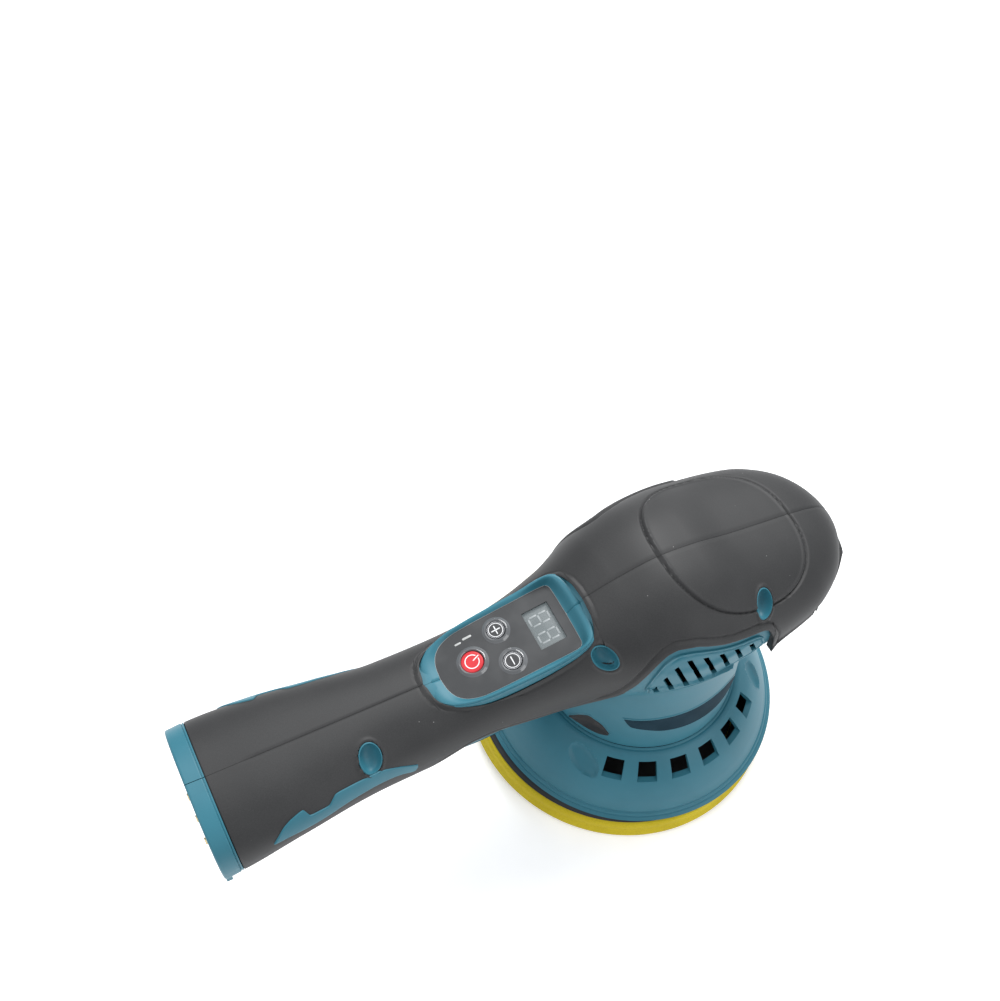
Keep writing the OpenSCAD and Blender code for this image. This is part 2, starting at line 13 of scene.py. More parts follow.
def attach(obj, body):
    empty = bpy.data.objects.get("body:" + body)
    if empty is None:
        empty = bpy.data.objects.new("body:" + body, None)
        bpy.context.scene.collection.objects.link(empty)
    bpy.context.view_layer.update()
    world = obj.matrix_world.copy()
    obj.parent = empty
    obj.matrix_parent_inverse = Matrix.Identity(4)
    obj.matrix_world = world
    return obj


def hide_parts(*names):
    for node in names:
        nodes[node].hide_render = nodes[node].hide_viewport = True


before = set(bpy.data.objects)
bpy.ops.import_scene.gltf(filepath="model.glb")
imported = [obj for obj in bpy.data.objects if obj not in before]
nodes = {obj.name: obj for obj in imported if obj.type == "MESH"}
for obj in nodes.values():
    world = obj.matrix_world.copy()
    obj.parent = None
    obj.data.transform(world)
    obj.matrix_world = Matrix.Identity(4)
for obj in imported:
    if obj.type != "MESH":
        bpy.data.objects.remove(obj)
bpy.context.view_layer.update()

# ---------------------------------------------------------------------------------------------
# Camera, lights and world
# ---------------------------------------------------------------------------------------------

VIEW_FROM = (-0.2108, -0.1810, 0.5830)
VIEW_RIGHT = (0.8850, -0.4591, 0.0768)
VIEW_UP = (0.3529, 0.7694, 0.5325)
VIEW_AHEAD = (0.3036, 0.4441, -0.8430)
LENS = 45.0


def make_camera():
    """A 45 mm camera above the grip's end, looking down at the head."""
    data = bpy.data.cameras.new("camera")
    data.lens = LENS
    data.sensor_width = 36.0
    data.clip_start = 0.02
    camera = bpy.data.objects.new("camera", data)
    bpy.context.scene.collection.objects.link(camera)
    turn = Matrix((VIEW_RIGHT, VIEW_UP, tuple(-a for a in VIEW_AHEAD))).transposed().to_4x4()
    camera.matrix_world = Matrix.Translation(VIEW_FROM) @ turn
    bpy.context.scene.camera = camera


def area_light(name, place, target, size, power):
    """A square softbox at place, facing target."""
    data = bpy.data.lights.new(name, "AREA")
    data.size = size
    data.energy = power
    lamp = bpy.data.objects.new(name, data)
    bpy.context.scene.collection.objects.link(lamp)
    lamp.location = place
    lamp.rotation_euler = (Vector(target) - Vector(place)).to_track_quat("-Z", "Y").to_euler()


def make_studio():
    """An even pale world and three softboxes."""
    area_light("key_softbox", (0.58, 0.68, 1.25), (-0.03, 0, 0.08), 0.75, 24)
    area_light("fill_softbox", (-0.9, 0.2, 1.1), (-0.05, 0, 0.08), 1.0, 7)
    area_light("rim_softbox", (0.6, -1.1, 0.9), (0.0, 0, 0.08), 0.9, 6)
    world = bpy.data.worlds.new("studio")
    world.use_nodes = True
    world.node_tree.nodes["Background"].inputs["Color"].default_value = (0.93, 0.95, 1.0, 1)
    world.node_tree.nodes["Background"].inputs["Strength"].default_value = 0.58
    bpy.context.scene.world = world
    scene = bpy.context.scene
    scene.view_settings.view_transform = "Standard"


make_camera()
make_studio()

# ---------------------------------------------------------------------------------------------
# Shader maths
# ---------------------------------------------------------------------------------------------


class Value:
    """A socket in a material's node tree, with arithmetic that adds Math nodes."""

    def __init__(self, paint, socket):
        self.paint, self.socket = paint, socket

    def math(self, operation, *others):
        sockets = [o.socket if isinstance(o, Value) else o for o in (self, *others)]
        return self.paint.node("ShaderNodeMath", {"operation": operation}, dict(enumerate(sockets)))

    def __add__(self, other):
        return self.math("ADD", other)

    def __mul__(self, other):
        return self.math("MULTIPLY", other)

    def __sub__(self, other):
        return self.math("SUBTRACT", other)

    def __rsub__(self, other):
        return (self * -1) + other

    __radd__ = __add__
    __rmul__ = __mul__

    def ramp(self, low, high):
        """0 below low, 1 above high and a smooth rise between them."""
        settings = {"interpolation_type": "SMOOTHSTEP"}
        return self.paint.node("ShaderNodeMapRange", settings,
                               {"Value": self, "From Min": low, "From Max": high}, "Result")


class Paint:
    """One material's node tree, round a Principled shader."""

    def __init__(self, name, **fixed):
        self.material = bpy.data.materials.new(name)
        self.material.use_nodes = True
        self.tree = self.material.node_tree
        self.shader = self.tree.nodes["Principled BSDF"]
        for label, value in fixed.items():
            self.shader.inputs[label.replace("_", " ")].default_value = value

    def node(self, kind, settings=None, inputs=None, output=0):
        """Adds a node, sets its settings, then the values or links of its sockets."""
        made = self.tree.nodes.new(kind)
        for key, value in (settings or {}).items():
            setattr(made, key, value)
        for key, value in (inputs or {}).items():
            value = value.socket if isinstance(value, Value) else value
            if isinstance(value, bpy.types.NodeSocket):
                self.tree.links.new(value, made.inputs[key])
            else:
                made.inputs[key].default_value = value
        return Value(self, made.outputs[output])

    def place(self):
        return self.node("ShaderNodeTexCoord", output="Object")

    def noise(self, scale, detail=2.0, roughness=0.5):
        """Soft noise from 0 to 1 with about scale blobs a metre."""
        return self.node("ShaderNodeTexNoise", {}, {"Vector": self.place(), "Scale": scale,
                                                    "Detail": detail, "Roughness": roughness})

    def cells(self, scale):
        """Distance to the nearest of scattered points, scale of them a metre."""
        return self.node("ShaderNodeTexVoronoi", {}, {"Vector": self.place(), "Scale": scale})

    def blend(self, mask, low, high):
        """Colour low where mask is 0 and high where it is 1."""
        return self.node("ShaderNodeMix", {"data_type": "RGBA"}, {0: mask, 6: low, 7: high}, 2)

    def feed(self, label, value):
        self.tree.links.new(value.socket, self.shader.inputs[label])
        return self

    def bump(self, height, depth, strength=1.0):
        """Raises the surface by up to depth metres where height is 1."""
        made = self.node("ShaderNodeBump", {}, {"Height": height, "Distance": depth,
                                                "Strength": strength})
        return self.feed("Normal", made)


def rgb(red, green, blue):
    return (red, green, blue, 1.0)


# ---------------------------------------------------------------------------------------------
# Materials
# ---------------------------------------------------------------------------------------------

TEAL = rgb(0.026, 0.140, 0.188)
TEAL_LIGHT = rgb(0.032, 0.158, 0.210)
CHARCOAL = rgb(0.015, 0.0155, 0.016)
CHARCOAL_LIGHT = rgb(0.026, 0.0265, 0.027)


def moulded_teal():
    """Satin ABS with a fine spark-eroded grain and faint flow marks."""
    paint = Paint("moulded_teal", Specular_IOR_Level=0.34)
    flow = paint.noise(38, 3)
    grain = paint.noise(2600, 2)
    paint.feed("Base Color", paint.blend(flow.ramp(0.3, 0.7), TEAL, TEAL_LIGHT))
    paint.feed("Roughness", 0.37 + 0.10 * flow + 0.06 * grain)
    return paint.bump(grain + 0.4 * paint.noise(700, 1), 0.000015, 0.5).material


def soft_charcoal(name="soft_charcoal", low=CHARCOAL, high=CHARCOAL_LIGHT):
    """Matt elastomer with a fine leather-like grain and a little pale dust."""
    paint = Paint(name, Specular_IOR_Level=0.42)
    cloud = paint.noise(30, 3)
    grain = paint.noise(2100, 3, 0.6)
    dust = (1 - paint.cells(160)).ramp(0.955, 0.985) * paint.noise(60, 1).ramp(0.52, 0.6)
    worn = paint.blend((0.5 * cloud + 0.5 * grain).ramp(0.35, 0.7), low, high)
    paint.feed("Base Color", paint.blend(0.55 * dust, worn, rgb(0.4, 0.4, 0.39)))
    paint.feed("Roughness", 0.47 + 0.10 * cloud + 0.1 * grain)
    return paint.bump(grain, 0.00003, 0.6).material


def plain_plastic(name, low, high, rough, grain_depth=0.00001, **fixed):
    """Moulded plastic or film: two near colours in soft clouds, and a fine grain."""
    paint = Paint(name, **fixed)
    cloud = paint.noise(90, 2)
    grain = paint.noise(3000, 2)
    paint.feed("Base Color", paint.blend(cloud.ramp(0.35, 0.65), low, high))
    paint.feed("Roughness", rough + 0.08 * cloud + 0.04 * grain)
    return paint.bump(grain, grain_depth, 0.5).material


def metal(name, low, high, rough, scale=(60, 60, 1400)):
    """Turned or ground metal: fine streaks drawn out along one axis."""
    paint = Paint(name, Metallic=1.0)
    stretch = paint.node("ShaderNodeMapping", {}, {"Vector": paint.place(), "Scale": scale})
    streak = paint.node("ShaderNodeTexNoise", {}, {"Vector": stretch, "Scale": 1.0, "Detail": 3.0})
    paint.feed("Base Color", paint.blend(streak.ramp(0.3, 0.7), low, high))
    paint.feed("Roughness", rough + 0.14 * streak)
    return paint.bump(streak, 0.00003, 0.4).material


def open_cell_foam():
    """Yellow polyurethane: small open cells, with painted shade making them slightly darker in their
    hollows.
    """
    paint = Paint("open_cell_foam", Specular_IOR_Level=0.25)
    cells = paint.cells(1500)
    cloud = paint.noise(45, 3)
    base = paint.blend(cloud.ramp(0.3, 0.7), rgb(0.50, 0.39, 0.012), rgb(0.58, 0.46, 0.02))
    # Painted shade: the colour darkens towards the low hollows between the cells.
    paint.feed("Base Color", paint.blend(cells.ramp(0.4, 0.8) * 0.22, base, rgb(0.30, 0.22, 0.008)))
    paint.feed("Roughness", 0.72 + 0.12 * cloud)
    return paint.bump((1 - cells) + 0.5 * paint.noise(3000, 2), 0.00007, 0.5).material


def woven_hook():
    """Hook fabric: a tight grid of stems over a pale base."""
    paint = Paint("woven_hook", Specular_IOR_Level=0.2)
    stems = paint.cells(1100)
    paint.feed("Base Color", paint.blend(stems.ramp(0.2, 0.6), rgb(0.50, 0.41, 0.11),
                                         rgb(0.24, 0.19, 0.05)))
    paint.feed("Roughness", 0.85 + 0.1 * paint.noise(500, 1))
    return paint.bump(1 - stems, 0.0004, 0.8).material


MATS = {
    "teal": moulded_teal(),
    "rubber": soft_charcoal(),
    "film": plain_plastic("panel_film", rgb(0.040, 0.042, 0.044), rgb(0.052, 0.054, 0.056), 0.36,
                          0.00001, Specular_IOR_Level=0.35),
    "slate": plain_plastic("badge_slate", rgb(0.008, 0.026, 0.040), rgb(0.013, 0.034, 0.050), 0.62,
                           Specular_IOR_Level=0.06),
    "inlay": plain_plastic("inlay_charcoal", rgb(0.018, 0.018, 0.019), rgb(0.028, 0.027, 0.027), 0.45,
                           Specular_IOR_Level=0.2),
    "red": plain_plastic("signal_red", rgb(0.50, 0.022, 0.030), rgb(0.57, 0.034, 0.042), 0.38,
                         Specular_IOR_Level=0.3),
    "key": plain_plastic("key_charcoal", rgb(0.035, 0.036, 0.038), rgb(0.05, 0.05, 0.053), 0.3),
    "clear": plain_plastic("clear_dome", rgb(0.10, 0.105, 0.11), rgb(0.13, 0.135, 0.14), 0.12,
                           0.00002, Coat_Weight=0.8),
    "white": plain_plastic("printed_white", rgb(0.72, 0.73, 0.73), rgb(0.8, 0.8, 0.8), 0.45),
    "lcd": plain_plastic("display_grey", rgb(0.13, 0.145, 0.145), rgb(0.16, 0.175, 0.175), 0.3),
    "digit": plain_plastic("digit_pale", rgb(0.33, 0.35, 0.35), rgb(0.38, 0.40, 0.40), 0.35),
    "dark": plain_plastic("dark_nylon", rgb(0.012, 0.012, 0.013), rgb(0.02, 0.02, 0.022), 0.55),
    "board": plain_plastic("solder_mask", rgb(0.012, 0.10, 0.04), rgb(0.02, 0.14, 0.06), 0.35),
    "steel": metal("ground_steel", rgb(0.45, 0.46, 0.48), rgb(0.62, 0.63, 0.65), 0.22),
    "zinc": metal("zinc_plate", rgb(0.50, 0.50, 0.50), rgb(0.66, 0.66, 0.64), 0.3),
    "core": metal("laminated_steel", rgb(0.20, 0.21, 0.22), rgb(0.34, 0.35, 0.37), 0.38,
                  (20, 20, 3500)),
    "cast": metal("die_cast", rgb(0.42, 0.43, 0.45), rgb(0.58, 0.59, 0.61), 0.45, (400, 400, 400)),
    "copper": metal("enamelled_copper", rgb(0.45, 0.15, 0.06), rgb(0.66, 0.27, 0.11), 0.25,
                    (300, 300, 2400)),
    "brass": metal("contact_brass", rgb(0.58, 0.44, 0.18), rgb(0.72, 0.57, 0.27), 0.25),
    "zinc_red": plain_plastic("painted_weight", rgb(0.10, 0.012, 0.010), rgb(0.15, 0.02, 0.016), 0.5),
    "foam": open_cell_foam(),
    "hook": woven_hook(),
    "lead": plain_plastic("silicone_lead", rgb(0.16, 0.05, 0.04), rgb(0.24, 0.08, 0.06), 0.45),
    # Painted highlight: pale grey for the bead along the panel film's edge.
    "painted_edge_highlight": plain_plastic("film_edge_painted_highlight", rgb(0.22, 0.23, 0.23), rgb(0.30, 0.31, 0.31), 0.3),
    "lamp": plain_plastic("lamp_lens", rgb(0.42, 0.43, 0.42), rgb(0.5, 0.5, 0.5), 0.3),
    "pane": plain_plastic("clear_pane", rgb(0.3, 0.36, 0.38), rgb(0.34, 0.4, 0.42), 0.1, 0.00001,
                          Alpha=0.10, Specular_IOR_Level=0.4),
    "floor": plain_plastic("studio_floor", rgb(0.90, 0.90, 0.90), rgb(0.92, 0.92, 0.92), 0.8, 0.0,
                           Emission_Strength=0.28, Emission_Color=rgb(1, 1, 1)),
}

# ---------------------------------------------------------------------------------------------
# Meshes from grids of points
# ---------------------------------------------------------------------------------------------


class Shape:
    """Grids of points in millimetres, gathered into one mesh."""

    def __init__(self):
        self.points, self.quads, self.slots = [], [], []
        self.count = 0

    def add(self, points, quads, slot=0):
        self.points.append(points.reshape(-1, 3))
        self.quads.append(quads + self.count)
        self.slots.append(np.full(len(quads), slot))
        self.count += len(self.points[-1])

    @staticmethod
    def cells(count_u, count_v, wrap_u, wrap_v):
        """Corner numbers of every cell of a grid, as an array (cells_u, cells_v, 4)."""
        u = np.arange(count_u if wrap_u else count_u - 1)[:, None]
        v = np.arange(count_v if wrap_v else count_v - 1)[None, :]
        u1, v1 = (u + 1) % count_u, (v + 1) % count_v
        corners = (u * count_v + v, u1 * count_v + v, u1 * count_v + v1, u * count_v + v1)
        return np.stack([c + 0 * corners[0] for c in corners], -1)

    def walled(self, outer, inner, keep=None, wrap_u=False, wrap_v=False, slot=0):
        """Closed wall between two grids of the same size, open where keep is False."""
        count_u, count_v = outer.shape[:2]
        cells = self.cells(count_u, count_v, wrap_u, wrap_v)
        keep = np.ones(cells.shape[:2], bool) if keep is None else keep
        shift = count_u * count_v
        faces = [cells[keep], cells[keep][:, ::-1] + shift]
        for axis, step, a, b, wrap in ((0, 1, 1, 2, wrap_u), (0, -1, 3, 0, wrap_u),
                                       (1, 1, 2, 3, wrap_v), (1, -1, 0, 1, wrap_v)):
            beside = np.roll(keep, -step, axis)
            if not wrap:
                edge = [slice(None), slice(None)]
                edge[axis] = -1 if step == 1 else 0
                beside[tuple(edge)] = False
            rim = cells[keep & ~beside]
            near, far = rim[:, a], rim[:, b]
            faces.append(np.stack([far, near, near + shift, far + shift], -1))
        self.add(np.concatenate([outer.reshape(-1, 3), inner.reshape(-1, 3)]),
                 np.concatenate(faces), slot)

    def tube(self, grid, slot=0):
        """Rings of points (rings, around, 3) joined end to end, with a fan over each end."""
        rings, around = grid.shape[:2]
        count = rings * around
        here = np.arange(around)
        beside = (here + 1) % around
        hub = 0 * here + count
        first = np.stack([beside, here, hub, hub], -1)
        last = np.stack([here + count - around, beside + count - around, hub + 1, hub + 1], -1)
        points = np.concatenate([grid.reshape(-1, 3), [grid[0].mean(0), grid[-1].mean(0)]])
        cells = self.cells(rings, around, False, True).reshape(-1, 4)
        self.add(points, np.concatenate([cells, first, last]), slot)

    def loop(self, grid, slot=0):
        """Grid of points joined to itself both ways round."""
        self.add(grid, self.cells(*grid.shape[:2], True, True).reshape(-1, 4), slot)

    def spin(self, profile, around):
        """Closed profile of points (r, z) turned about the pad's axis."""
        profile = np.asarray(profile, float)
        angle = np.linspace(0, 2 * np.pi, around, endpoint=False)
        r, z = profile[None, :, 0], profile[None, :, 1]
        grid = np.stack([r * np.cos(angle)[:, None], r * np.sin(angle)[:, None],
                         z + 0 * angle[:, None]], -1)
        self.loop(grid)

    def build(self, name, materials, body, slot_name, smooth=35):
        """Makes the object, faces outward, and hangs it on its body."""
        points = np.concatenate(self.points) * 0.001
        quads = np.concatenate(self.quads)
        slots = np.concatenate(self.slots)
        mesh = bpy.data.meshes.new(name)
        triangle = quads[:, 2] == quads[:, 3]
        sizes = np.where(triangle, 3, 4)
        corners = quads[np.arange(4)[None, :] < sizes[:, None]]
        mesh.vertices.add(len(points))
        mesh.vertices.foreach_set("co", points.astype(np.float32).ravel())
        mesh.loops.add(len(corners))
        mesh.loops.foreach_set("vertex_index", corners.astype(np.int32))
        mesh.polygons.add(len(quads))
        mesh.polygons.foreach_set("loop_start",
                                  np.concatenate([[0], np.cumsum(sizes)[:-1]]).astype(np.int32))
        mesh.polygons.foreach_set("loop_total", sizes.astype(np.int32))
        mesh.polygons.foreach_set("material_index", slots.astype(np.int32))
        for material in materials:
            mesh.materials.append(MATS[material])
        mesh.update(calc_edges=True)
        mesh.validate()
        tidy_normals(mesh)
        mesh.shade_smooth()
        mesh.set_sharp_from_angle(angle=math.radians(smooth))
        piece = bpy.data.objects.new(name, mesh)
        bpy.context.scene.collection.objects.link(piece)
        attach(piece, body)
        return piece


def tidy_normals(mesh):
    """Merges doubles and turns every closed shell's faces outward."""
    work = bmesh.new()
    work.from_mesh(mesh)
    bmesh.ops.remove_doubles(work, verts=work.verts, dist=1e-6)
    bmesh.ops.dissolve_degenerate(work, edges=work.edges, dist=1e-7)
    bmesh.ops.recalc_face_normals(work, faces=work.faces)
    work.to_mesh(mesh)
    work.free()


def spaced(low, high, count, ends=0.5):
    """count numbers from low to high, packed closer at both ends by ends, from 0 to 1."""
    t = np.linspace(0, 1, count)
    eased = (1 - np.cos(np.pi * t)) / 2
    return low + (high - low) * ((1 - ends) * t + ends * eased)


def bow(distance, radius):
    """How far a rounded edge of that radius has dropped at a distance in from the edge."""
    d = np.clip(distance, 0, radius)
    return np.sqrt(np.maximum(radius ** 2 - (radius - d) ** 2, 0)) - radius


def groove(distance, width, depth):
    """A round-bottomed groove: minus depth at distance 0, fading out at half the width."""
    return -depth * np.exp(-(distance / (width / 2)) ** 2 * 2.5)


def curve(x, pairs):
    """Smooth curve through (x, value) pairs that doesn't overshoot: a monotone cubic."""
    px, py = np.array(pairs, float).T
    h = np.diff(px)
    d = np.diff(py) / h
    slope = np.empty(len(px))
    slope[0], slope[-1] = d[0], d[-1]
    w1, w2 = 2 * h[1:] + h[:-1], h[1:] + 2 * h[:-1]
    turns = d[:-1] * d[1:] <= 0
    safe = np.where(d == 0, 1, d)
    slope[1:-1] = np.where(turns, 0, (w1 + w2) / (w1 / safe[:-1] + w2 / safe[1:]))
    x = np.clip(x, px[0], px[-1])
    i = np.clip(np.searchsorted(px, x) - 1, 0, len(px) - 2)
    t = (x - px[i]) / h[i]
    return ((1 + 2 * t) * (1 - t) ** 2 * py[i] + t * (1 - t) ** 2 * h[i] * slope[i]
            + t * t * (3 - 2 * t) * py[i + 1] + t * t * (t - 1) * h[i] * slope[i + 1])


# ---------------------------------------------------------------------------------------------
# The body's form
# ---------------------------------------------------------------------------------------------

REAR = -211.0
NOSE = 92.0
AXIS_X = 4.0
ROUND = 2.4
TOP = [(REAR, 119.2), (-203, 118.6), (-175, 117.3), (-150, 116.3), (-125, 115.5), (-112, 115.2),
       (-90, 116.3), (-65, 121), (-45, 129), (-25, 137.0), (-4, 141.0), (12, 138.9), (32, 133.3),
       (50, 129.4), (65, 126.4), (78, 122.6), (87, 117), (NOSE, 108)]
MIDDLE = [(REAR, 97), (-203, 98.5), (-175, 100.3), (-150, 98.8), (-125, 94.8), (-100, 94.2),
          (-70, 97), (-45, 101.5), (-25, 103.5), (20, 104), (35, 105), (50, 106.6), (65, 107.4),
          (80, 107.7), (NOSE, 107.6)]
BOTTOM = [(REAR, 74.5), (-203, 76.5), (-175, 81.5), (-150, 80), (-125, 73), (-100, 72),
          (-65, 73.5), (-45, 74), (-30, 77), (-15, 84), (0, 89), (20, 96), (35, 102.4),
          (50, 104.6), (65, 105.6), (80, 106.2), (88, 106.5), (NOSE, 106.8)]
HALF = [(REAR, 29.5), (-203, 29.5), (-175, 27.5), (-150, 24.6), (-125, 22.6), (-100, 22.4),
        (-85, 22.6), (-65, 24.4), (-45, 28.2), (-25, 36.2), (-5, 41), (20, 42.5), (39, 40.4),
        (49, 38.7), (61, 35.8), (70, 31.6), (78, 26), (85, 18), (89.5, 10), (NOSE, 1)]
BARREL_Z = 39.8
BARREL_WAIST = [(38, 47.6), (BARREL_Z, 47.3), (60, 45.8), (80, 43.4), (95, 41.8), (112, 41.5)]


def section(x, turn):
    """Point of the long body at x and section angle turn, +-90 degrees at top and bottom: a
    superellipse of exponent ROUND from the middle height up to the top, and down to the bottom."""
    mid = curve(x, MIDDLE)
    up = np.sin(turn)
    height = np.where(up >= 0, curve(x, TOP) - mid, mid - curve(x, BOTTOM))
    power = 2 / ROUND
    y = curve(x, HALF) * np.abs(np.cos(turn)) ** power
    return np.stack([x + 0 * turn, y, mid + height * np.sign(up) * np.abs(up) ** power], -1)


def turn_at(x, z):
    """Section angle at which the long body at x has height z."""
    mid = curve(x, MIDDLE)
    height = np.where(z >= mid, curve(x, TOP) - mid, mid - curve(x, BOTTOM))
    up = np.clip((z - mid) / height, -1, 1)
    return np.arcsin(np.sign(up) * np.abs(up) ** (ROUND / 2))


def turn_at_width(x, y):
    """Section angle above the middle at which the long body at x is y wide."""
    share = np.clip(y / curve(x, HALF), 0, 1)
    return np.arccos(share ** (ROUND / 2))


def depth_inside(p):
    """About how deep a point lies in the body: the long body and the barrel, smoothly joined."""
    x, y, z = p[..., 0], np.abs(p[..., 1]), p[..., 2]
    mid, half = curve(x, MIDDLE), curve(x, HALF)
    height = np.where(z >= mid, curve(x, TOP) - mid, mid - curve(x, BOTTOM))
    ratio = ((y / half) ** ROUND + (np.abs(z - mid) / height) ** ROUND) ** (1 / ROUND)
    long_body = (1 - ratio) * np.minimum(half, height)
    long_body = np.where(x > NOSE, NOSE - x - 0.01, long_body)
    barrel = np.minimum(curve(z, BARREL_WAIST) - np.hypot(x - AXIS_X, y), 112 - z)
    k = 4.0
    mix = np.clip(0.5 + (long_body - barrel) / (2 * k), 0, 1)
    return barrel * (1 - mix) + long_body * mix + k * mix * (1 - mix)


def slope(p):
    """Depth at each point, the unit direction out of the form, and how fast the depth falls."""
    depth = depth_inside(p)
    rise = np.stack([depth_inside(p + 0.05 * a) - depth for a in np.eye(3)], -1) / -0.05
    rate = np.maximum(np.linalg.norm(rise, axis=-1), 0.2)
    return depth, rise / rate[..., None], rate


def settled(p, level=0.0):
    """The points moved along the form's slope until they lie level millimetres outside it."""
    for _ in range(6):
        depth, out, rate = slope(p)
        p = p + out * np.clip((depth + level) / rate, -3, 3)[..., None]
    return p


def skinned(p, level, thick):
    """A settled grid and the grid that lies thick millimetres below it."""
    outer = settled(p, level)
    return outer, outer - slope(outer)[1] * thick


def wall_point(angle, z):
    """Where a level ray from the motor axis leaves the form: halving between inside and out."""
    angle, z = np.broadcast_arrays(np.asarray(angle, float), np.asarray(z, float))
    ahead = np.stack([np.cos(angle), np.sin(angle), 0 * angle], -1)
    start = np.stack([AXIS_X + 0 * z, 0 * z, z], -1)
    low, high = np.full(z.shape, 20.0), np.full(z.shape, 120.0)
    for _ in range(28):
        half = (low + high) / 2
        inside = depth_inside(start + half[..., None] * ahead) > 0
        low, high = np.where(inside, half, low), np.where(inside, high, half)
    return start + low[..., None] * ahead


def side_point(x, z):
    """Where a level line across the tool at x, z leaves the form: halving between in and out."""
    x, z = np.broadcast_arrays(np.asarray(x, float), np.asarray(z, float))
    low, high = np.zeros(x.shape), np.full(x.shape, 60.0)
    for _ in range(26):
        half = (low + high) / 2
        inside = depth_inside(np.stack([x, half, z], -1)) > 0
        low, high = np.where(inside, half, low), np.where(inside, high, half)
    return np.stack([x, low, z], -1)


def leant(grid):
    """The grid with its rear end leaning forward towards the bottom, 4 mm in 100."""
    share = ((-188 - grid[..., 0]) / 15).clip(0, 1)
    step = 0.04 * (120 - grid[..., 2]) * share
    return grid + np.stack([step, 0 * step, 0 * step], -1)


def to_edge(grid):
    """Distance along a grid of each point from the nearest of the grid's four edges."""
    found = []
    for axis in (0, 1):
        step = np.linalg.norm(np.diff(grid, axis=axis), axis=-1)
        way = np.concatenate([np.zeros_like(np.take(step, [0], axis)), np.cumsum(step, axis)], axis)
        total = np.take(way, [-1], axis)
        found.append(np.minimum(way, total - way))
    return np.minimum(*found)


def to_line(p, line):
    """Distance in the plane of each (a, b) pair from a line of straight runs."""
    line = np.asarray(line, float)
    start, run = line[:-1], np.diff(line, axis=0)
    t = np.sum((p[..., None, :] - start) * run, -1) / np.sum(run * run, -1)
    nearest = start + np.clip(t, 0, 1)[..., None] * run
    return np.linalg.norm(p[..., None, :] - nearest, axis=-1).min(-1)


def flip(grid, side):
    """The grid itself on the +Y side, or its mirror image on the -Y side."""
    return grid * np.array([1.0, side, 1.0])


def parted(grid):
    """The grid kept half the parting gap away from the middle plane."""
    grid = grid.copy()
    grid[..., 1] = np.maximum(grid[..., 1], PARTING)
    return grid


SIDES = (("left", 1), ("right", -1))
PARTING = 0.06
UNDERNEATH = math.radians(-89.9)

# ---------------------------------------------------------------------------------------------
# Panel plane, and the ring round it
# ---------------------------------------------------------------------------------------------

PANEL_X, PANEL_Z = -62.4, 121.5
PANEL_TILT = math.radians(10.1)
RING_EDGE = [(-49.9, 0), (-49.6, 4), (-48.4, 8.4), (-45, 12), (-38, 15.2), (-28.5, 17.3),
             (-13, 18.3), (0, 18.8), (10, 19), (17, 18.3), (21.5, 15.8), (24, 10.5), (24.9, 5),
             (25, 0)]
PANEL_EDGE = [(-41.9, 0), (-41.5, 4.5), (-39.6, 9.6), (-35, 13.4), (-28, 15.2), (-15, 15.7),
              (0, 15.9), (10, 16), (14.2, 15.8), (15.6, 14.9), (16.2, 13.2), (16.5, 0)]


def on_panel(s, y, h):
    """Point s along the panel, y across it and h above it."""
    c, n = math.cos(PANEL_TILT), math.sin(PANEL_TILT)
    s, y, h = np.broadcast_arrays(s, y, h)
    return np.stack([PANEL_X + c * s - n * h, y, PANEL_Z + n * s + c * h], -1)


def half_width(s, edge):
    return np.where((s > edge[0][0]) & (s < edge[-1][0]), curve(s, edge), 0.0)


def edge_path(edge, t):
    """Point of a half outline at share t of its length."""
    edge = np.array(edge, float)
    way = np.concatenate([[0], np.cumsum(np.linalg.norm(np.diff(edge, axis=0), axis=1))])
    way /= way[-1]
    return np.stack([curve(t, np.column_stack([way, edge[:, k]])) for k in (0, 1)], -1)


# ---------------------------------------------------------------------------------------------
# Rubber and teal shells
# ---------------------------------------------------------------------------------------------

RUBBER = 1.3
RUBBER_THICK = 1.6
EDGE_ENDS = (-139.0, 33.2)
EDGE = [(-139, 76), (-132, 76.8), (-125, 79), (-115, 86.5), (-105, 92), (-98, 94.2), (-90, 94.2),
        (-77, 91.4), (-64.6, 89.6), (-53.3, 89), (-45, 91.2), (-39.5, 95), (-35, 99.6),
        (-30.7, 106.8), (-26.5, 114.7), (-21.3, 121.2), (-16.6, 124.8), (-12.1, 126.1),
        (-6.7, 125.9), (0, 124.1), (8.2, 121.9), (18.9, 120.3), (27, 118.8), (30.2, 117),
        (31.8, 114.4), (33.2, 111.3)]
EDGE_RUN = np.linspace(*EDGE_ENDS, 240)
SEAM = (list(zip(EDGE_RUN, curve(EDGE_RUN, EDGE))) + [(EDGE_ENDS[1] + 1.0, 103.0)])
DISHES = [(((-141.9, 12.6, 115.8), (-143.7, 22.8, 108.6)), 4.5, 4.4),
          (((-44.1, 19.3, 126.2), (-38.0, 28.8, 119.6)), 4.5, 5.2),
          (((33.4, 27.3, 130.1), (28.2, 37.8, 124.2)), 4.0, 5.2)]
CAP_X, CAP_A, CAP_B, CAP_N = 30.4, 35.4, 34.2, 2.5
TURN_JOIN = math.radians(30)
NOSE_START = 86.5
NOSE_COLUMNS = 14
RING_CUT = [(s * 0.978, y * 0.955) for s, y in RING_EDGE]


def dish_frame(ends):
    """Middle, long axis, cross axis and half length of a dish between two points."""
    a, b = (settled(np.array(e), RUBBER) for e in ends)
    middle = settled((a + b) / 2, RUBBER)
    out = slope(middle)[1]
    along = (b - a) / np.linalg.norm(b - a)
    along = along - out * (along @ out)
    along /= np.linalg.norm(along)
    return middle, along, np.cross(out, along), np.linalg.norm(b - a) / 2


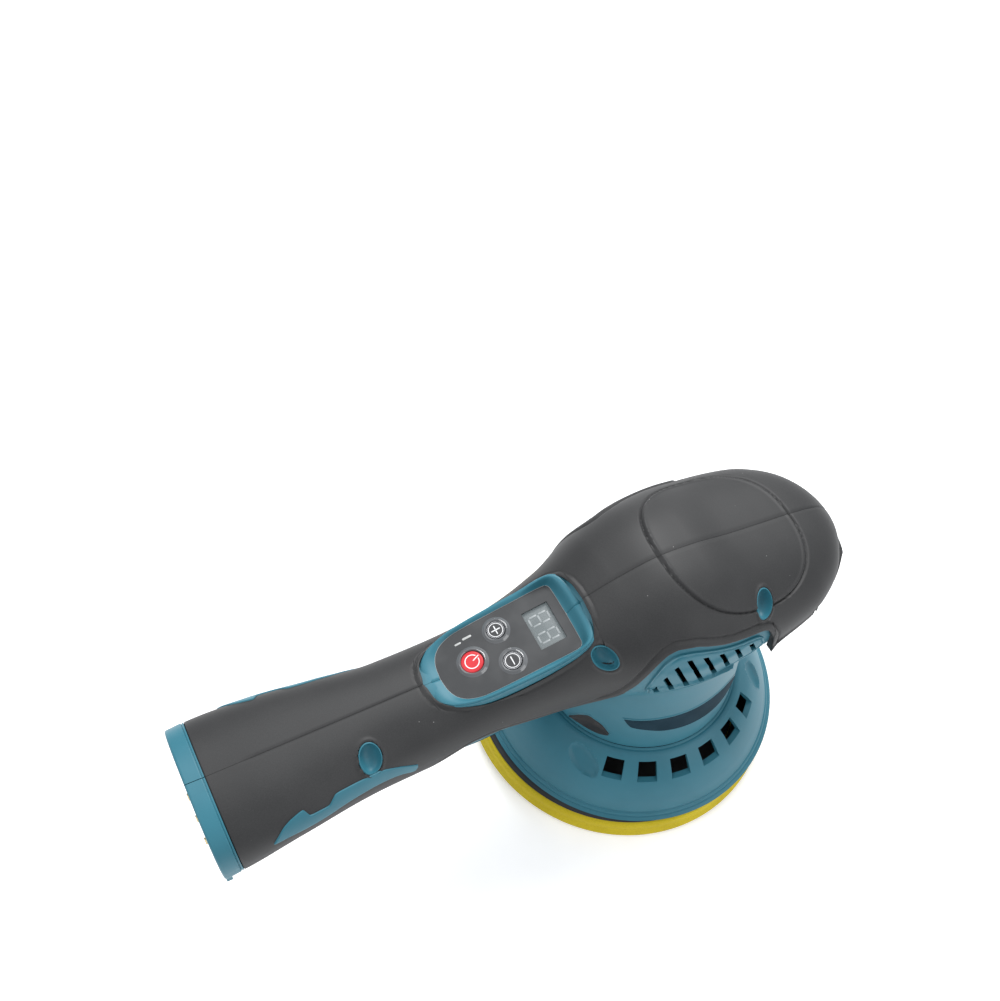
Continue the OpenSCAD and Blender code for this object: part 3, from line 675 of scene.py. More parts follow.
def dish_share(p):
    """Distance of each point from the nearest dish's middle, as a share of the dish's outline."""
    share = np.full(p.shape[:-1], 9.0)
    for ends, wide, _ in DISHES:
        middle, along, cross, long = dish_frame(ends)
        a, b = (p - middle) @ along, (p - middle) @ cross
        near = np.linalg.norm(p - middle, axis=-1) < 14
        share = np.where(near, np.minimum(share, np.hypot(a / long, b / wide)), share)
    return share


def in_dish(p, grow):
    """Whether points lie inside any dish's outline, made grow times as large."""
    return dish_share(p) < grow


def centres(grid):
    return (grid[:-1, :-1] + grid[1:, :-1] + grid[1:, 1:] + grid[:-1, 1:]) / 4


def section_grid(x, high, low, rows):
    """Points of the long body at every x: most rows run from section angle high to a turn just
    above the teal's edge, which barely changes along the grip, and the rest run on to low."""
    upper = int(rows * 0.62)
    join = np.maximum(TURN_JOIN, low + 0.02)[:, None]
    first = np.linspace(0, 1, upper, endpoint=False)[None, :]
    second = np.linspace(0, 1, rows - upper)[None, :]
    turn = np.concatenate([high[:, None] * (1 - first) + join * first,
                           join * (1 - second) + low[:, None] * second], 1)
    return section(x[:, None], turn)


def grip_columns():
    """Places along the grip: closer together where an outline turns across it."""
    runs = [(-203.2, -189, 22), (-188.6, -139.4, 50), (-139, -93, 66), (-92.4, -46, 58),
            (-45.6, -34, 34), (-33.7, 24, 116), (24.4, 30.39, 22), (30.41, 36, 16), (36.4, 66.6, 62),
            (67.2, NOSE_START, 27), (NOSE_START + 0.3, NOSE, NOSE_COLUMNS)]
    return np.concatenate([np.linspace(*run) for run in runs])


def rubber_level(p, sunk):
    """Height of the rubber over the form: its rounded edges, the band beside the teal, the lip
    round the panel's ring, the oval groove on the head and, where sunk, the screw dishes."""
    x, y, z = p[..., 0], p[..., 1], p[..., 2]
    edge = to_line(np.stack([x, z], -1), SEAM)
    band = ((x + 54) / 12).clip(0, 1) * ((46 - x) / 6).clip(0, 1)
    level = RUBBER + bow(edge, 0.9)
    level += band * (0.4 * np.exp(-((edge - 1.7) / 1.3) ** 4) + groove(edge - 3.8, 1.5, 0.45))
    level += groove(edge - 2.6, 1.3, 0.25) * (1 - band) * (x > -139)
    fade = ((x + 191) / 8).clip(0.08, 1)
    level += bow(x + 203.2, 0.9) + bow(np.maximum(y - 0.05, 0), 0.45) * 0.8 * fade
    s = along_panel(p)
    ring = to_line(np.stack([s, y], -1), RING_CUT)
    lip = (z > 112) & (s > -60) & (s < 35)
    level += lip * (0.55 * np.exp(-((ring - 0.8) / 0.9) ** 2) + groove(ring - 2.5, 1.4, 0.2))
    oval = ((np.abs(x - CAP_X) / CAP_A) ** CAP_N + (np.abs(y) / CAP_B) ** CAP_N) ** (1 / CAP_N)
    off = (oval - 1) * 35 / np.clip(slope(p)[1][..., 2], 0.35, 1)
    on_top = (z > 112) & (x > -10)
    level += on_top * (groove(off, 1.8, 0.8) + 0.3 * np.exp(-((off + 1.5) / 0.6) ** 2))
    if sunk:
        share = dish_share(p)
        level += 0.4 * np.exp(-((share - 1.18) / 0.12) ** 2)
        level -= 3.0 * ((1.05 - share) / 0.14).clip(0, 1)
    return level


def nosed(grid, tip_x):
    """The grid with its last columns on parabolas, (1-t)^2 start + 2t(1-t) corner + t^2 tip. Each
    leaves the surface about the way it runs there, and closes on the point at tip_x."""
    start = grid[-NOSE_COLUMNS - 1]
    way = start - grid[-NOSE_COLUMNS - 2]
    reach = (tip_x - start[:, :1]) / np.maximum(way[:, :1], 0.05)
    corner = start + way * reach * 0.9
    tip = np.array([tip_x, PARTING, MIDDLE[-1][1]])
    spread = np.linalg.norm((start - tip)[:, 1:], axis=1)
    narrowed = np.linalg.norm((corner - tip)[:, 1:], axis=1) / np.maximum(spread, 0.1)
    corner[:, 1:] = tip[1:] + (start - tip)[:, 1:] * np.clip(narrowed, 0.2, 0.75)[:, None]
    t = np.linspace(0, 1, NOSE_COLUMNS + 1)[1:, None, None]
    grid = grid.copy()
    grid[-NOSE_COLUMNS:] = (1 - t) ** 2 * start + 2 * t * (1 - t) * corner + t * t * tip
    return grid


def along_panel(p):
    """Place along the panel of each point, square to the panel's plane."""
    c, n = math.cos(PANEL_TILT), math.sin(PANEL_TILT)
    return c * (p[..., 0] - PANEL_X) + n * (p[..., 2] - PANEL_Z)


def ring_top(x, edge):
    """Section angle at which the form at x meets an outline round the panel."""
    y = np.full(x.shape, 0.06)
    for _ in range(12):
        p = section(x, turn_at_width(x, y))
        y = 0.5 * y + 0.5 * np.maximum(half_width(along_panel(p), edge), 0.06)
    return turn_at_width(x, y)


def make_grips():
    """Rubber over each half, from the parting line or the panel's ring down to the teal, and a
    floor under the head where it stands out past the motor wall."""
    x = grip_columns()
    top = ring_top(x, RING_CUT)
    inside = (x > EDGE_ENDS[0]) & (x < EDGE_ENDS[1])
    low = np.where(inside, turn_at(x, curve(x, EDGE)), UNDERNEATH)
    tuck = np.radians(-89.9 + 76 * ((62 - x) / 4).clip(0, 1))
    low = np.where(x >= EDGE_ENDS[1], tuck, low)
    grid = settled(section_grid(x, top, low, 98), RUBBER)
    floor_turn = np.linspace(math.radians(-12), UNDERNEATH, 24)[None, :]
    under = section(np.linspace(50.8, 63, 14)[:, None], floor_turn)
    under_skin = skinned(under, 0.2 + 0 * under[..., 0], 1.2)
    for name, side in SIDES:
        outer = parted(settled(grid, rubber_level(grid, side < 0)))
        inner = outer - slope(outer)[1] * RUBBER_THICK
        outer, inner = parted(nosed(outer, NOSE + 0.9)), parted(nosed(inner, NOSE - 0.7))
        keep = (side > 0) | ~in_dish(centres(grid), 0.8)
        shape = Shape()
        shape.walled(leant(flip(outer, side)), leant(flip(inner, side)), keep)
        shape.walled(*(flip(g, side) for g in under_skin))
        piece = shape.build("grip_rubber_" + name, ["rubber"], "body", "overmould", 30)
        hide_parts("grip_" + name)


WALL_FOOT = 39.55
WALL_TOP = [(0, 108), (49, 108), (52, 110), (54, 116), (57, 121), (62, 125), (75, 127.5), (90, 129),
            (105, 131), (112, 131.5), (119, 130.5), (124, 127.5), (128.5, 119), (134, 110),
            (141, 99), (149, 94), (156, 93), (166, 96)]
LEAF_TOP = [(-26, 101.6), (-24.6, 104.6), (-22.1, 108.9), (-19, 113.2), (-16.1, 116.4),
            (-12.6, 119.6), (-9.4, 121.6), (-6.6, 122.8), (-3, 123.5), (0.8, 123.3), (5.9, 122.0),
            (12, 120.0), (19.8, 118.2), (28.4, 117.2), (31, 116.2), (32.8, 113.4)]
LEAF_LOW = [(-26, 100.8), (-25.2, 98.0), (-23.6, 95.8), (-20, 95.4), (-15.5, 96.8), (-8.5, 99.2),
            (-2.1, 100.2), (5.1, 101.5), (12, 103.2), (19.2, 104.8), (26, 106.6), (30.6, 108.8),
            (32.8, 112.6)]
SLOTS_U = [-21.8, -15.3, -8.6, -1.9, 5.0, 12.0, 19.0, 26.0]
SLOT_TOP = [(-21.8, 103.4), (-15.3, 111), (-8.6, 116.8), (-1.9, 119.6), (5, 118.2), (12, 116.6),
            (19, 115.8), (26, 114.6)]
SLOT_LOW = [(-21.8, 98.6), (-15.3, 100.4), (-8.6, 102.6), (-1.9, 103), (5, 104.1), (12, 106),
            (19, 107.8), (26, 109.2)]
SLOT_HALF = 1.15
SLANT = 0.43


def leaf_place(p):
    """Slanted place along the leaf of each point, which is constant along a slot."""
    return p[..., 0] + SLANT * (p[..., 2] - 104)


def make_head_walls():
    """Teal wall of the motor housing and the side of the neck, open behind the leaf vent."""
    share = np.linspace(0, 1, 150)[:, None]
    angle = np.radians(np.concatenate([np.linspace(0.07, 50, 60), np.linspace(50.6, 166, 190)]))
    top = curve(np.degrees(angle), WALL_TOP)
    z = WALL_FOOT + (top[None, :] - WALL_FOOT) * share
    angle = np.broadcast_to(angle[None, :], z.shape)
    rear = np.radians(179.93)
    ease = ((86 - z) / 10).clip(0, 1)
    angle = angle + (angle / np.radians(166)) ** 6 * (rear - np.radians(166)) * ease
    grid = wall_point(angle, z)
    dive = ((-96 - grid[..., 0]) / 10).clip(0, 1)
    level = -0.5 * dive + bow(z - WALL_FOOT, 0.35)
    outer, inner = (parted(g) for g in skinned(grid, level, 1.4))
    middle = centres(grid)
    u, zc = leaf_place(middle), middle[..., 2]
    hole = (u > -25.2) & (u < 31.6)
    hole &= (zc < curve(u, LEAF_TOP) - 0.8) & (zc > curve(u, LEAF_LOW) + 0.6)
    for name, side in SIDES:
        keep = ~hole & ((side > 0) | ~in_dish(middle, 0.98))
        shape = Shape()
        shape.walled(flip(outer, side), flip(inner, side), keep)
        piece = shape.build("motor_wall_" + name, ["teal"], "body", "shell", 30)
        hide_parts("housing_" + name)


def make_tubes():
    """Teal tube under the rubber: bare on the underside of the neck."""
    x = np.concatenate([np.linspace(-205, -113, 70), np.linspace(-112, -20, 90)])
    top = ring_top(x, [(s * 0.9, y * 0.85) for s, y in RING_EDGE])
    grid = section_grid(x, top, np.full(len(x), UNDERNEATH), 60)
    outer, inner = (parted(g) for g in skinned(grid, -0.3 + 0 * grid[..., 0], 2.0))
    for name, side in SIDES:
        keep = (side > 0) | ~in_dish(centres(grid), 0.98)
        shape = Shape()
        shape.walled(leant(flip(outer, side)), leant(flip(inner, side)), keep)
        shape.build("neck_tube_" + name, ["teal"], "body", "shell", 30)


def make_leaf_vents():
    """Raised leaf-shaped grille with eight slanted slots, one each side."""
    half = SLOT_HALF
    cuts = np.concatenate([np.linspace(c - half, c + half, 5) for c in SLOTS_U])
    ends, starts = (cuts.reshape(-1, 5)[part] for part in (np.s_[:-1, -1], np.s_[1:, 0]))
    bars = [(ends * (6 - k) + starts * k) / 6 for k in (2, 3, 4)]
    u = np.unique(np.concatenate([np.linspace(-25.95, -24, 8), np.linspace(-23.7, -23.4, 2), cuts,
                                  *bars, np.linspace(28.2, 30, 4), np.linspace(30.4, 32.7, 10)]))
    levels = [curve(u, LEAF_LOW), curve(u, SLOT_LOW), curve(u, SLOT_TOP), curve(u, LEAF_TOP)]
    levels[1] = np.clip(levels[1], levels[0] + 0.3, levels[3] - 0.3)
    levels[2] = np.clip(levels[2], levels[1] + 0.1, levels[3] - 0.2)
    runs = [(0, 1, 8), (1, 2, 16), (2, 3, 9)]
    rows = [levels[a] + (levels[b] - levels[a]) * t
            for a, b, n in runs for t in np.linspace(0, 1, n, endpoint=False)] + [levels[3]]
    z = np.stack(rows, 1)
    grid = side_point(u[:, None] - SLANT * (z - 104), z)
    edge = to_edge(grid)
    level = 0.75 + bow(edge, 0.7) * 1.4 + groove(edge - 1.9, 1.1, 0.4)
    outer, inner = skinned(grid, level, 1.7)
    middle_u = (u[:-1] + u[1:]) / 2
    in_slot = (np.abs(middle_u[:, None] - np.array(SLOTS_U)) < half).any(1)
    keep = np.ones((len(u) - 1, z.shape[1] - 1), bool)
    keep[in_slot, 8:24] = False
    for name, side in SIDES:
        shape = Shape()
        shape.walled(flip(outer, side), flip(inner, side), keep)
        shape.build("leaf_vent_" + name, ["teal"], "body", "shell", 30)


def side_patch(x, low, high, rows, level, thick, lift=0.4, radius=0.6):
    """Thin patch over the rubber between two height curves, with rounded edges."""
    share = np.linspace(0, 1, rows)[None, :]
    z = curve(x, low)[:, None] * (1 - share) + curve(x, high)[:, None] * share
    xs = np.broadcast_to(x[:, None], z.shape)
    grid = settled(side_point(xs, z), RUBBER)
    return skinned(grid, level + lift + bow(to_edge(grid), radius), thick)


STRIPE_HIGH = [(-188.9, 104.0), (-188.2, 104.9), (-186.2, 106.7), (-183.2, 108.8), (-179.3, 110.0),
               (-174.3, 110.6), (-173.4, 109.6), (-172.3, 108.0), (-168.4, 107.5), (-164.4, 107.2),
               (-162.3, 108.4), (-160.2, 109.4), (-154.2, 109.0), (-148.4, 108.5), (-141.5, 107.6),
               (-133.4, 104.4), (-124.3, 99.1)]
STRIPE_LOW = [(-188.9, 103.7), (-183.6, 103.4), (-172.4, 102.4), (-164.6, 102.2), (-157.5, 102.4),
              (-150.3, 102.2), (-144.2, 101.6), (-138.1, 100.1), (-131.9, 97.6), (-126.2, 94.2),
              (-124.3, 97.6)]


def make_stripes():
    """Teal flash let into the rubber of each side of the grip."""
    x = np.linspace(-188.85, -124.35, 170)
    outer, inner = side_patch(x, STRIPE_LOW, STRIPE_HIGH, 20, RUBBER, 1.6, 0.35, 0.8)
    for name, side in SIDES:
        shape = Shape()
        shape.walled(flip(outer, side), flip(inner, side))
        shape.build("grip_flash_" + name, ["teal"], "body", "shell", 30)


def make_dishes():
    """Teal screw dishes sunk through the rubber of the right half, each with a thin rim."""
    angle = np.linspace(0, 2 * np.pi, 96, endpoint=False)
    q = np.concatenate([np.linspace(0.02, 0.8, 16), np.linspace(0.83, 1.09, 16)])
    shape = Shape()
    for ends, wide, deep in DISHES:
        middle, along, cross, long = dish_frame(ends)
        a, b = long * np.cos(angle), wide * np.sin(angle)
        flat = middle + q[:, None, None] * (a[:, None] * along + b[:, None] * cross)
        rim = settled(flat, RUBBER)
        out = slope(middle)[1]
        bowl = -deep * np.clip(1 - (q / 0.98) ** 2, 0, 1) ** 0.5
        outer = rim + out * (bowl + 0.15 + bow((1.09 - q) * wide, 0.35))[:, None, None]
        inner = outer - out * 1.0
        shape.walled(flip(outer, -1), flip(inner, -1), wrap_v=True)
    shape.build("screw_dishes", ["teal"], "body", "shell", 40)


POCKET_HALF, POCKET_TOP, POCKET_DEEP = 26.0, 112.0, 8.0


def make_collars():
    """Teal collar behind the rubber: stepped flange outside, battery pocket inside."""
    x = np.concatenate([np.linspace(REAR, REAR + 1.2, 8), np.linspace(REAR + 1.6, -206.0, 10),
                        np.linspace(-205.7, -203.0, 18)])
    turn = np.radians(np.linspace(89.9, -89.9, 160))
    grid = section(x[:, None], turn[None, :])
    y, z = grid[..., 1], grid[..., 2]
    level = RUBBER + 0.1 + bow(grid[..., 0] - REAR, 1.0)
    level += groove(grid[..., 0] + 203.9, 0.5, 0.35) - 0.15 * (grid[..., 0] > -203.9)
    outer = settled(grid, level)
    outer[..., 0] = grid[..., 0]
    outer = parted(outer)
    inner = parted(np.stack([grid[..., 0], np.minimum(y, POCKET_HALF), np.minimum(z, POCKET_TOP)], -1))
    middle = centres(grid)
    keep = ~((middle[..., 2] < 92) & (middle[..., 1] < POCKET_HALF + 0.4))
    for name, side in SIDES:
        shape = Shape()
        shape.walled(leant(flip(outer, side)), leant(flip(inner, side)), keep)
        share = np.linspace(0.0, 1.0, 24)
        plate = section(np.full((24, 1), REAR + POCKET_DEEP), turn[None, :])
        plate = plate * np.stack([1 + 0 * share, share, 1 + 0 * share], -1)[:, None, :]
        plate[..., 1] -= 1
        plate = parted(plate)
        shape.walled(leant(flip(plate, side)), leant(flip(plate + np.array([2.0, 0, 0]), side)))
        lip_z = np.linspace(73, 110, 30)[None, :]
        lip_y = np.linspace(22, 26.5, 8)[:, None]
        lip = np.stack(np.broadcast_arrays(REAR - 0 * lip_z, lip_y, lip_z), -1)
        shape.walled(leant(flip(lip, side)), leant(flip(lip + np.array([2.5, 0, 0]), side)))
        shape.build("rear_collar_" + name, ["teal"], "body", "shell", 30)


def make_rings():
    """Stepped teal ring round the panel, in two halves that meet on the middle line."""
    t = spaced(0, 1, 150, 0.2)
    rim, film = edge_path(RING_EDGE, t), edge_path(PANEL_EDGE, t)
    profile = np.array([(0.0, -9.0), (0.0, -0.9), (0.0, 0.0), (0.02, 0.35), (0.06, 0.6), (0.13, 0.72),
                        (0.18, 0.75), (0.19, 1.05), (0.21, 1.25), (0.27, 1.36), (0.38, 1.4),
                        (0.5, 1.36), (0.62, 1.2), (0.74, 0.95), (0.86, 0.62), (0.95, 0.35),
                        (1.0, 0.2), (1.0, -0.9), (1.0, -2.4), (0.6, -9.0)])
    share, height = profile.T
    flat = rim[:, None, :] * (1 - share[None, :, None]) + film[:, None, :] * share[None, :, None]
    front = ((rim[:, 0] - 2) / 17).clip(0, 1)
    front = 3.1 * front * front * (3 - 2 * front)
    fall = ((share - 0.4) / 0.6).clip(0, 1)
    body = (1 - fall * fall * (3 - 2 * fall)) * (height > -1)
    grid = on_panel(flat[..., 0], flat[..., 1], height[None, :] + front[:, None] * body[None, :])
    notch = 0.35 * np.exp(-((grid[..., 1] - 0.05) / 0.35) ** 2)
    grid[..., 2] -= notch
    grid[..., 1] = np.maximum(grid[..., 1], 0.05)
    for name, side in SIDES:
        shape = Shape()
        shape.tube(flip(grid, side))
        shape.build("panel_ring_" + name, ["teal"], "body", "shell", 38)
    # Pale grey bead along the film's edge: a painted highlight for the light caught on that edge.
    turn = np.linspace(0, 2 * np.pi, 10, endpoint=False)
    both = np.concatenate([film, film[-2:0:-1] * [1, -1]])
    way = np.roll(both, -1, 0) - np.roll(both, 1, 0)
    out = np.stack([way[:, 1], -way[:, 0]], -1) / np.linalg.norm(way, axis=1)[:, None]
    radius = 0.16
    across = radius * np.cos(turn)
    bead = on_panel(both[:, :1] + out[:, :1] * across, both[:, 1:] + out[:, 1:] * across,
                    0.02 + radius * np.sin(turn)[None, :])
    edge = Shape()
    edge.loop(bead)
    edge.build("film_edge", ["painted_edge_highlight"], "body", "panel", 60)


KEYS = {"power_key": ((-27.2, 0.0), 4.7), "plus_key": ((-12.5, 7.6), 3.9),
        "minus_key": ((-12.5, -7.6), 3.9)}


def make_panel():
    """Control film over its plate, open round the keys and at the display."""
    s = np.concatenate([np.linspace(-41.85, -38, 14), np.linspace(-37.6, -0.4, 84), [0.0],
                        np.linspace(0.4, 11.6, 20), [12.0], np.linspace(12.3, 14, 6),
                        np.linspace(14.2, 16.45, 14)])
    b = np.concatenate([np.linspace(-1, -0.95, 5), np.linspace(-0.94, -0.58, 20),
                        np.linspace(-0.565, 0.565, 61), np.linspace(0.58, 0.94, 20),
                        np.linspace(0.95, 1, 5)])
    y = b[None, :] * curve(s, PANEL_EDGE)[:, None]
    s2 = np.broadcast_to(s[:, None], y.shape)
    edge = to_edge(np.stack([s2, y, 0 * y], -1))
    grid = on_panel(s2, y, bow(edge, 0.3))
    back = on_panel(s2, y, -1.4)
    cs, cy = (s[:-1, None] + s[1:, None]) / 2, (y[:-1, :-1] + y[1:, 1:]) / 2
    keep = ~((cs > 0) & (cs < 12) & (np.abs(cy) < 9.0))
    for (ks, ky), r in KEYS.values():
        keep &= np.hypot(cs - ks, cy - ky) > r + 0.5
    shape = Shape()
    shape.walled(grid, back, keep)
    film = shape.build("control_film", ["film"], "body", "panel", 35)
    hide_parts("control_panel")


def on_key(profile, s, y, around=96, arc=(0, 2 * np.pi), stretch=0.0):
    """Profile points (r, h) turned about the panel's normal at (s, y). Those over 4 mm out are
    moved out by the share stretch on one side and in on the other."""
    r, h = np.asarray(profile, float).T[:, :, None]
    angle = np.linspace(*arc, around, endpoint=arc[1] - arc[0] < 6.28)
    r = r * (1 + stretch * np.cos(angle - 0.6) * (r > 4))
    return on_panel(s + r * np.cos(angle), y + r * np.sin(angle), h + 0 * angle)


def make_keys():
    """Domed keys with printed marks, a thin steel ring near each small key's edge as a painted
    highlight, and the clear embossed rim round each.
    """
    for body, ((s, y), r) in KEYS.items():
        power = body == "power_key"
        shape = Shape()
        cap = [(0.05, -1.0), (r - 0.3, -1.0), (r - 0.05, -0.6), (r - 0.05, 0.55), (r - 0.12, 0.75),
               (r - 0.35, 0.9), (r - 0.8, 0.97), (r * 0.5, 1.0), (0.05, 1.0)]
        shape.tube(on_key(cap, s, y))
        if power:
            mark = 2.9
            ring = [(mark - 0.23, 0.96), (mark - 0.19, 1.05),
                    (mark + 0.19, 1.05), (mark + 0.23, 0.96)]
            arc = on_key(ring, s, y, 90, (0.62, 2 * np.pi + 0.12))
            shape.tube(arc.transpose(1, 0, 2), 1)
            shape.tube(bar(s, y, 0.37, 0.7, 3.6, 0.22), 1)
        else:
            # The outer steel ring is a painted highlight for the light on the cap's edge; the inner
            # white ring is print.
            for radius, wide, slot in ((3.55, 0.10, 2), (2.95, 0.14, 1)):
                ring = [(radius - wide, 0.9), (radius - wide, 1.05),
                        (radius + wide, 1.05), (radius + wide, 0.9)]
                shape.loop(on_key(ring, s, y, 90), slot)
            turn = math.radians(90) if body == "minus_key" else 0.0
            shape.tube(bar(s, y, turn, -1.75, 1.75, 0.24), 1)
            if body == "plus_key":
                shape.tube(bar(s, y, math.radians(90), -1.75, 1.75, 0.24), 1)
        # Slot 2, steel, carries the painted edge highlight of the small keys.
        colours = ["red", "white", "white"] if power else ["key", "white", "steel"]
        piece = shape.build(body + "_cap", colours, body, "power_key" if power else "clear_key", 40)
        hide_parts(body.replace("_key", "_button"))
        rim = Shape()
        profile = [(r + 0.1, -0.8), (r + 0.1, 0.5), (r + 0.25, 0.8), (r + 0.55, 0.98), (r + 0.95, 0.85),
                   (r + 1.35, 0.5), (r + 1.75, 0.15), (r + 2.0, 0.04), (r + 2.1, -0.1), (r + 1.6, -0.8)]
        rim.loop(on_key(profile, s, y, 120, stretch=0.05))
        rim.build(body + "_rim", ["clear"], "body", "panel", 40)


def bar(s, y, turn, start, end, wide, low=0.95, high=1.06):
    """Closed bar with rounded ends on a key, from start to end along turn."""
    t = np.linspace(0, 2 * np.pi, 40, endpoint=False)
    a = np.where(np.cos(t) > 0, end, start) + wide * np.cos(t)
    b = wide * np.sin(t)
    ps = s + a * math.cos(turn) - b * math.sin(turn)
    py = y + a * math.sin(turn) + b * math.cos(turn)
    mid_s, mid_y = ps.mean(), py.mean()
    return np.stack([on_panel(mid_s + (ps - mid_s) * share, mid_y + (py - mid_y) * share, h)
                     for share, h in ((0.02, low), (1, low), (1, high - 0.03), (0.94, high),
                                      (0.02, high))])


def slab(s0, s1, y0, y1, low, high, lean=0.0):
    """Closed block on the panel with slightly eased top edges; lean slides its far end in s."""
    corner = np.array([(-1, -1), (1, -1), (1, 1), (-1, 1)], float)
    rows = []
    for shrink, h in ((0.98, low), (0, low), (0, high - 0.04), (0.04, high), (0.98, high)):
        a = (s0 + s1) / 2 + corner[:, 0] * (s1 - s0) / 2 * (1 - shrink)
        b = (y0 + y1) / 2 + corner[:, 1] * (y1 - y0) / 2 * (1 - shrink)
        rows.append(on_panel(a + lean * (b - (y0 + y1) / 2), b, h))
    return np.stack(rows)


def make_display():
    """Sunken grey display with two unlit seven-segment figures, its clear pane, and the lamps."""
    glass = Shape()
    glass.tube(slab(-0.3, 12.3, -9.3, 9.3, -2.4, -1.5))
    for centre in (4.1, -4.1):
        for half in (-1, 1):
            for across in (-1, 1):
                y = centre + across * 2.1
                s = 6.0 + half * 2.15
                glass.tube(slab(s - 1.65, s + 1.65, y - 0.36, y + 0.36, -1.5, -1.42, 0.0), 1)
        for level in (-1, 0, 1):
            s = 6.0 + level * 4.3
            glass.tube(slab(s - 0.36, s + 0.36, centre - 1.6, centre + 1.6, -1.5, -1.42), 1)
    piece = glass.build("display_cell", ["lcd", "digit"], "body", "display", 40)
    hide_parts("segment_display")
    pane = Shape()
    pane.tube(slab(0.1, 11.9, -8.9, 8.9, -0.55, -0.2))
    pane = pane.build("display_pane", ["pane"], "body", "window", 40)
    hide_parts("display_window")
    lamps = Shape()
    lamps.tube(bar(-28.9, 10.0, 0.0, -1.0, 1.0, 0.42, -0.6, 0.14))
    lamps.tube(bar(-24.4, 10.8, 0.0, -1.6, 1.6, 0.48, -0.6, 0.14))
    lamps = lamps.build("speed_lamps", ["lamp"], "body", "lamp", 40)
    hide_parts("indicator_lights")


BADGE_LOW = [(46.3, 64.9), (53.5, 58.2), (62, 57.4), (71, 56.3), (87, 55.8), (103, 55.7), (113, 56.6),
             (120, 59.6), (126.5, 64.0)]
BADGE_HIGH = [(46.3, 65.3), (53.8, 66.7), (65, 69), (74, 70.6), (88, 72.2), (102, 73.1), (112, 72.4),
              (120, 69.4), (126.5, 64.6)]
INLAY_LOW = [(16.6, 41.4), (26, 41.8), (36, 42.5), (43.6, 45.2)]
INLAY_HIGH = [(16.6, 41.7), (24.5, 52.2), (29.2, 55.6), (36, 54.2), (43.6, 47.6)]


def wall_patch(low, high, count, rows, shrink=0.0):
    """Grid on the motor wall between two curves of height over the angle from the rear."""
    start, end = low[0][0], low[-1][0]
    turn = np.linspace(start + shrink, end - shrink, count)[:, None]
    share = np.linspace(0, 1, rows)[None, :]
    bottom, top = curve(turn, low), curve(turn, high)
    gap = np.minimum(shrink * 0.8, (top - bottom) * 0.45)
    z = (bottom + gap) * (1 - share) + (top - gap) * share
    return wall_point(np.pi - np.radians(turn) + 0 * z, z)


def make_badges():
    """Blank slate badge in a thin frame on each side of the motor wall."""
    for part, low, high, count, rows, colour in (
            ("badge", BADGE_LOW, BADGE_HIGH, 130, 26, "slate"),
            ("inlay", INLAY_LOW, INLAY_HIGH, 60, 24, "inlay")):
        grid = wall_patch(low, high, count, rows)
        edge = to_edge(grid)
        face = wall_patch(low, high, count, rows, 1.0)
        frame_skin = skinned(grid, 0.35 + bow(edge, 0.35), 0.9)
        ridge = 0.0
        if part == "inlay":
            turn = np.linspace(0, 1, count)[:, None]
            across = np.linspace(0, 1, rows)[None, :]
            ridge = 0.5 * np.maximum(0, 1 - np.abs(across - 0.2 - 0.75 * turn) / 0.35)
        plate_skin = skinned(face, 0.5 + ridge + bow(to_edge(face), 0.25), 1.0)
        for name, side in SIDES:
            border = Shape()
            border.walled(*(flip(g, side) for g in frame_skin))
            border.build(f"{part}_frame_{name}", ["teal"], "body", "shell", 30)
            plate = Shape()
            plate.walled(*(flip(g, side) for g in plate_skin))
            piece = plate.build(f"{part}_plate_{name}", [colour], "body", "badge", 25)
            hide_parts(f"{part}_{name}")


# ---------------------------------------------------------------------------------------------
# Skirt, pad
# ---------------------------------------------------------------------------------------------

SKIRT = [(47.3, 39.6), (50, 38.9), (53.1, 36.9), (57.5, 33.4), (62, 28.4), (66.5, 21.5), (70, 14.6),
         (71.6, 12.8), (72.9, 11.9)]
DIMPLES = [((55.4, 27.1), (60.7, 43.6)), ((56.5, 153.5), (62.8, 143.1))]
WINDOW_TOP, WINDOW_LOW = 53.1, 60.5
WINDOW_TURNS = [90 + 16.0 * (k - 2.5) for k in range(6)]
WINDOW_HALF = 4.5


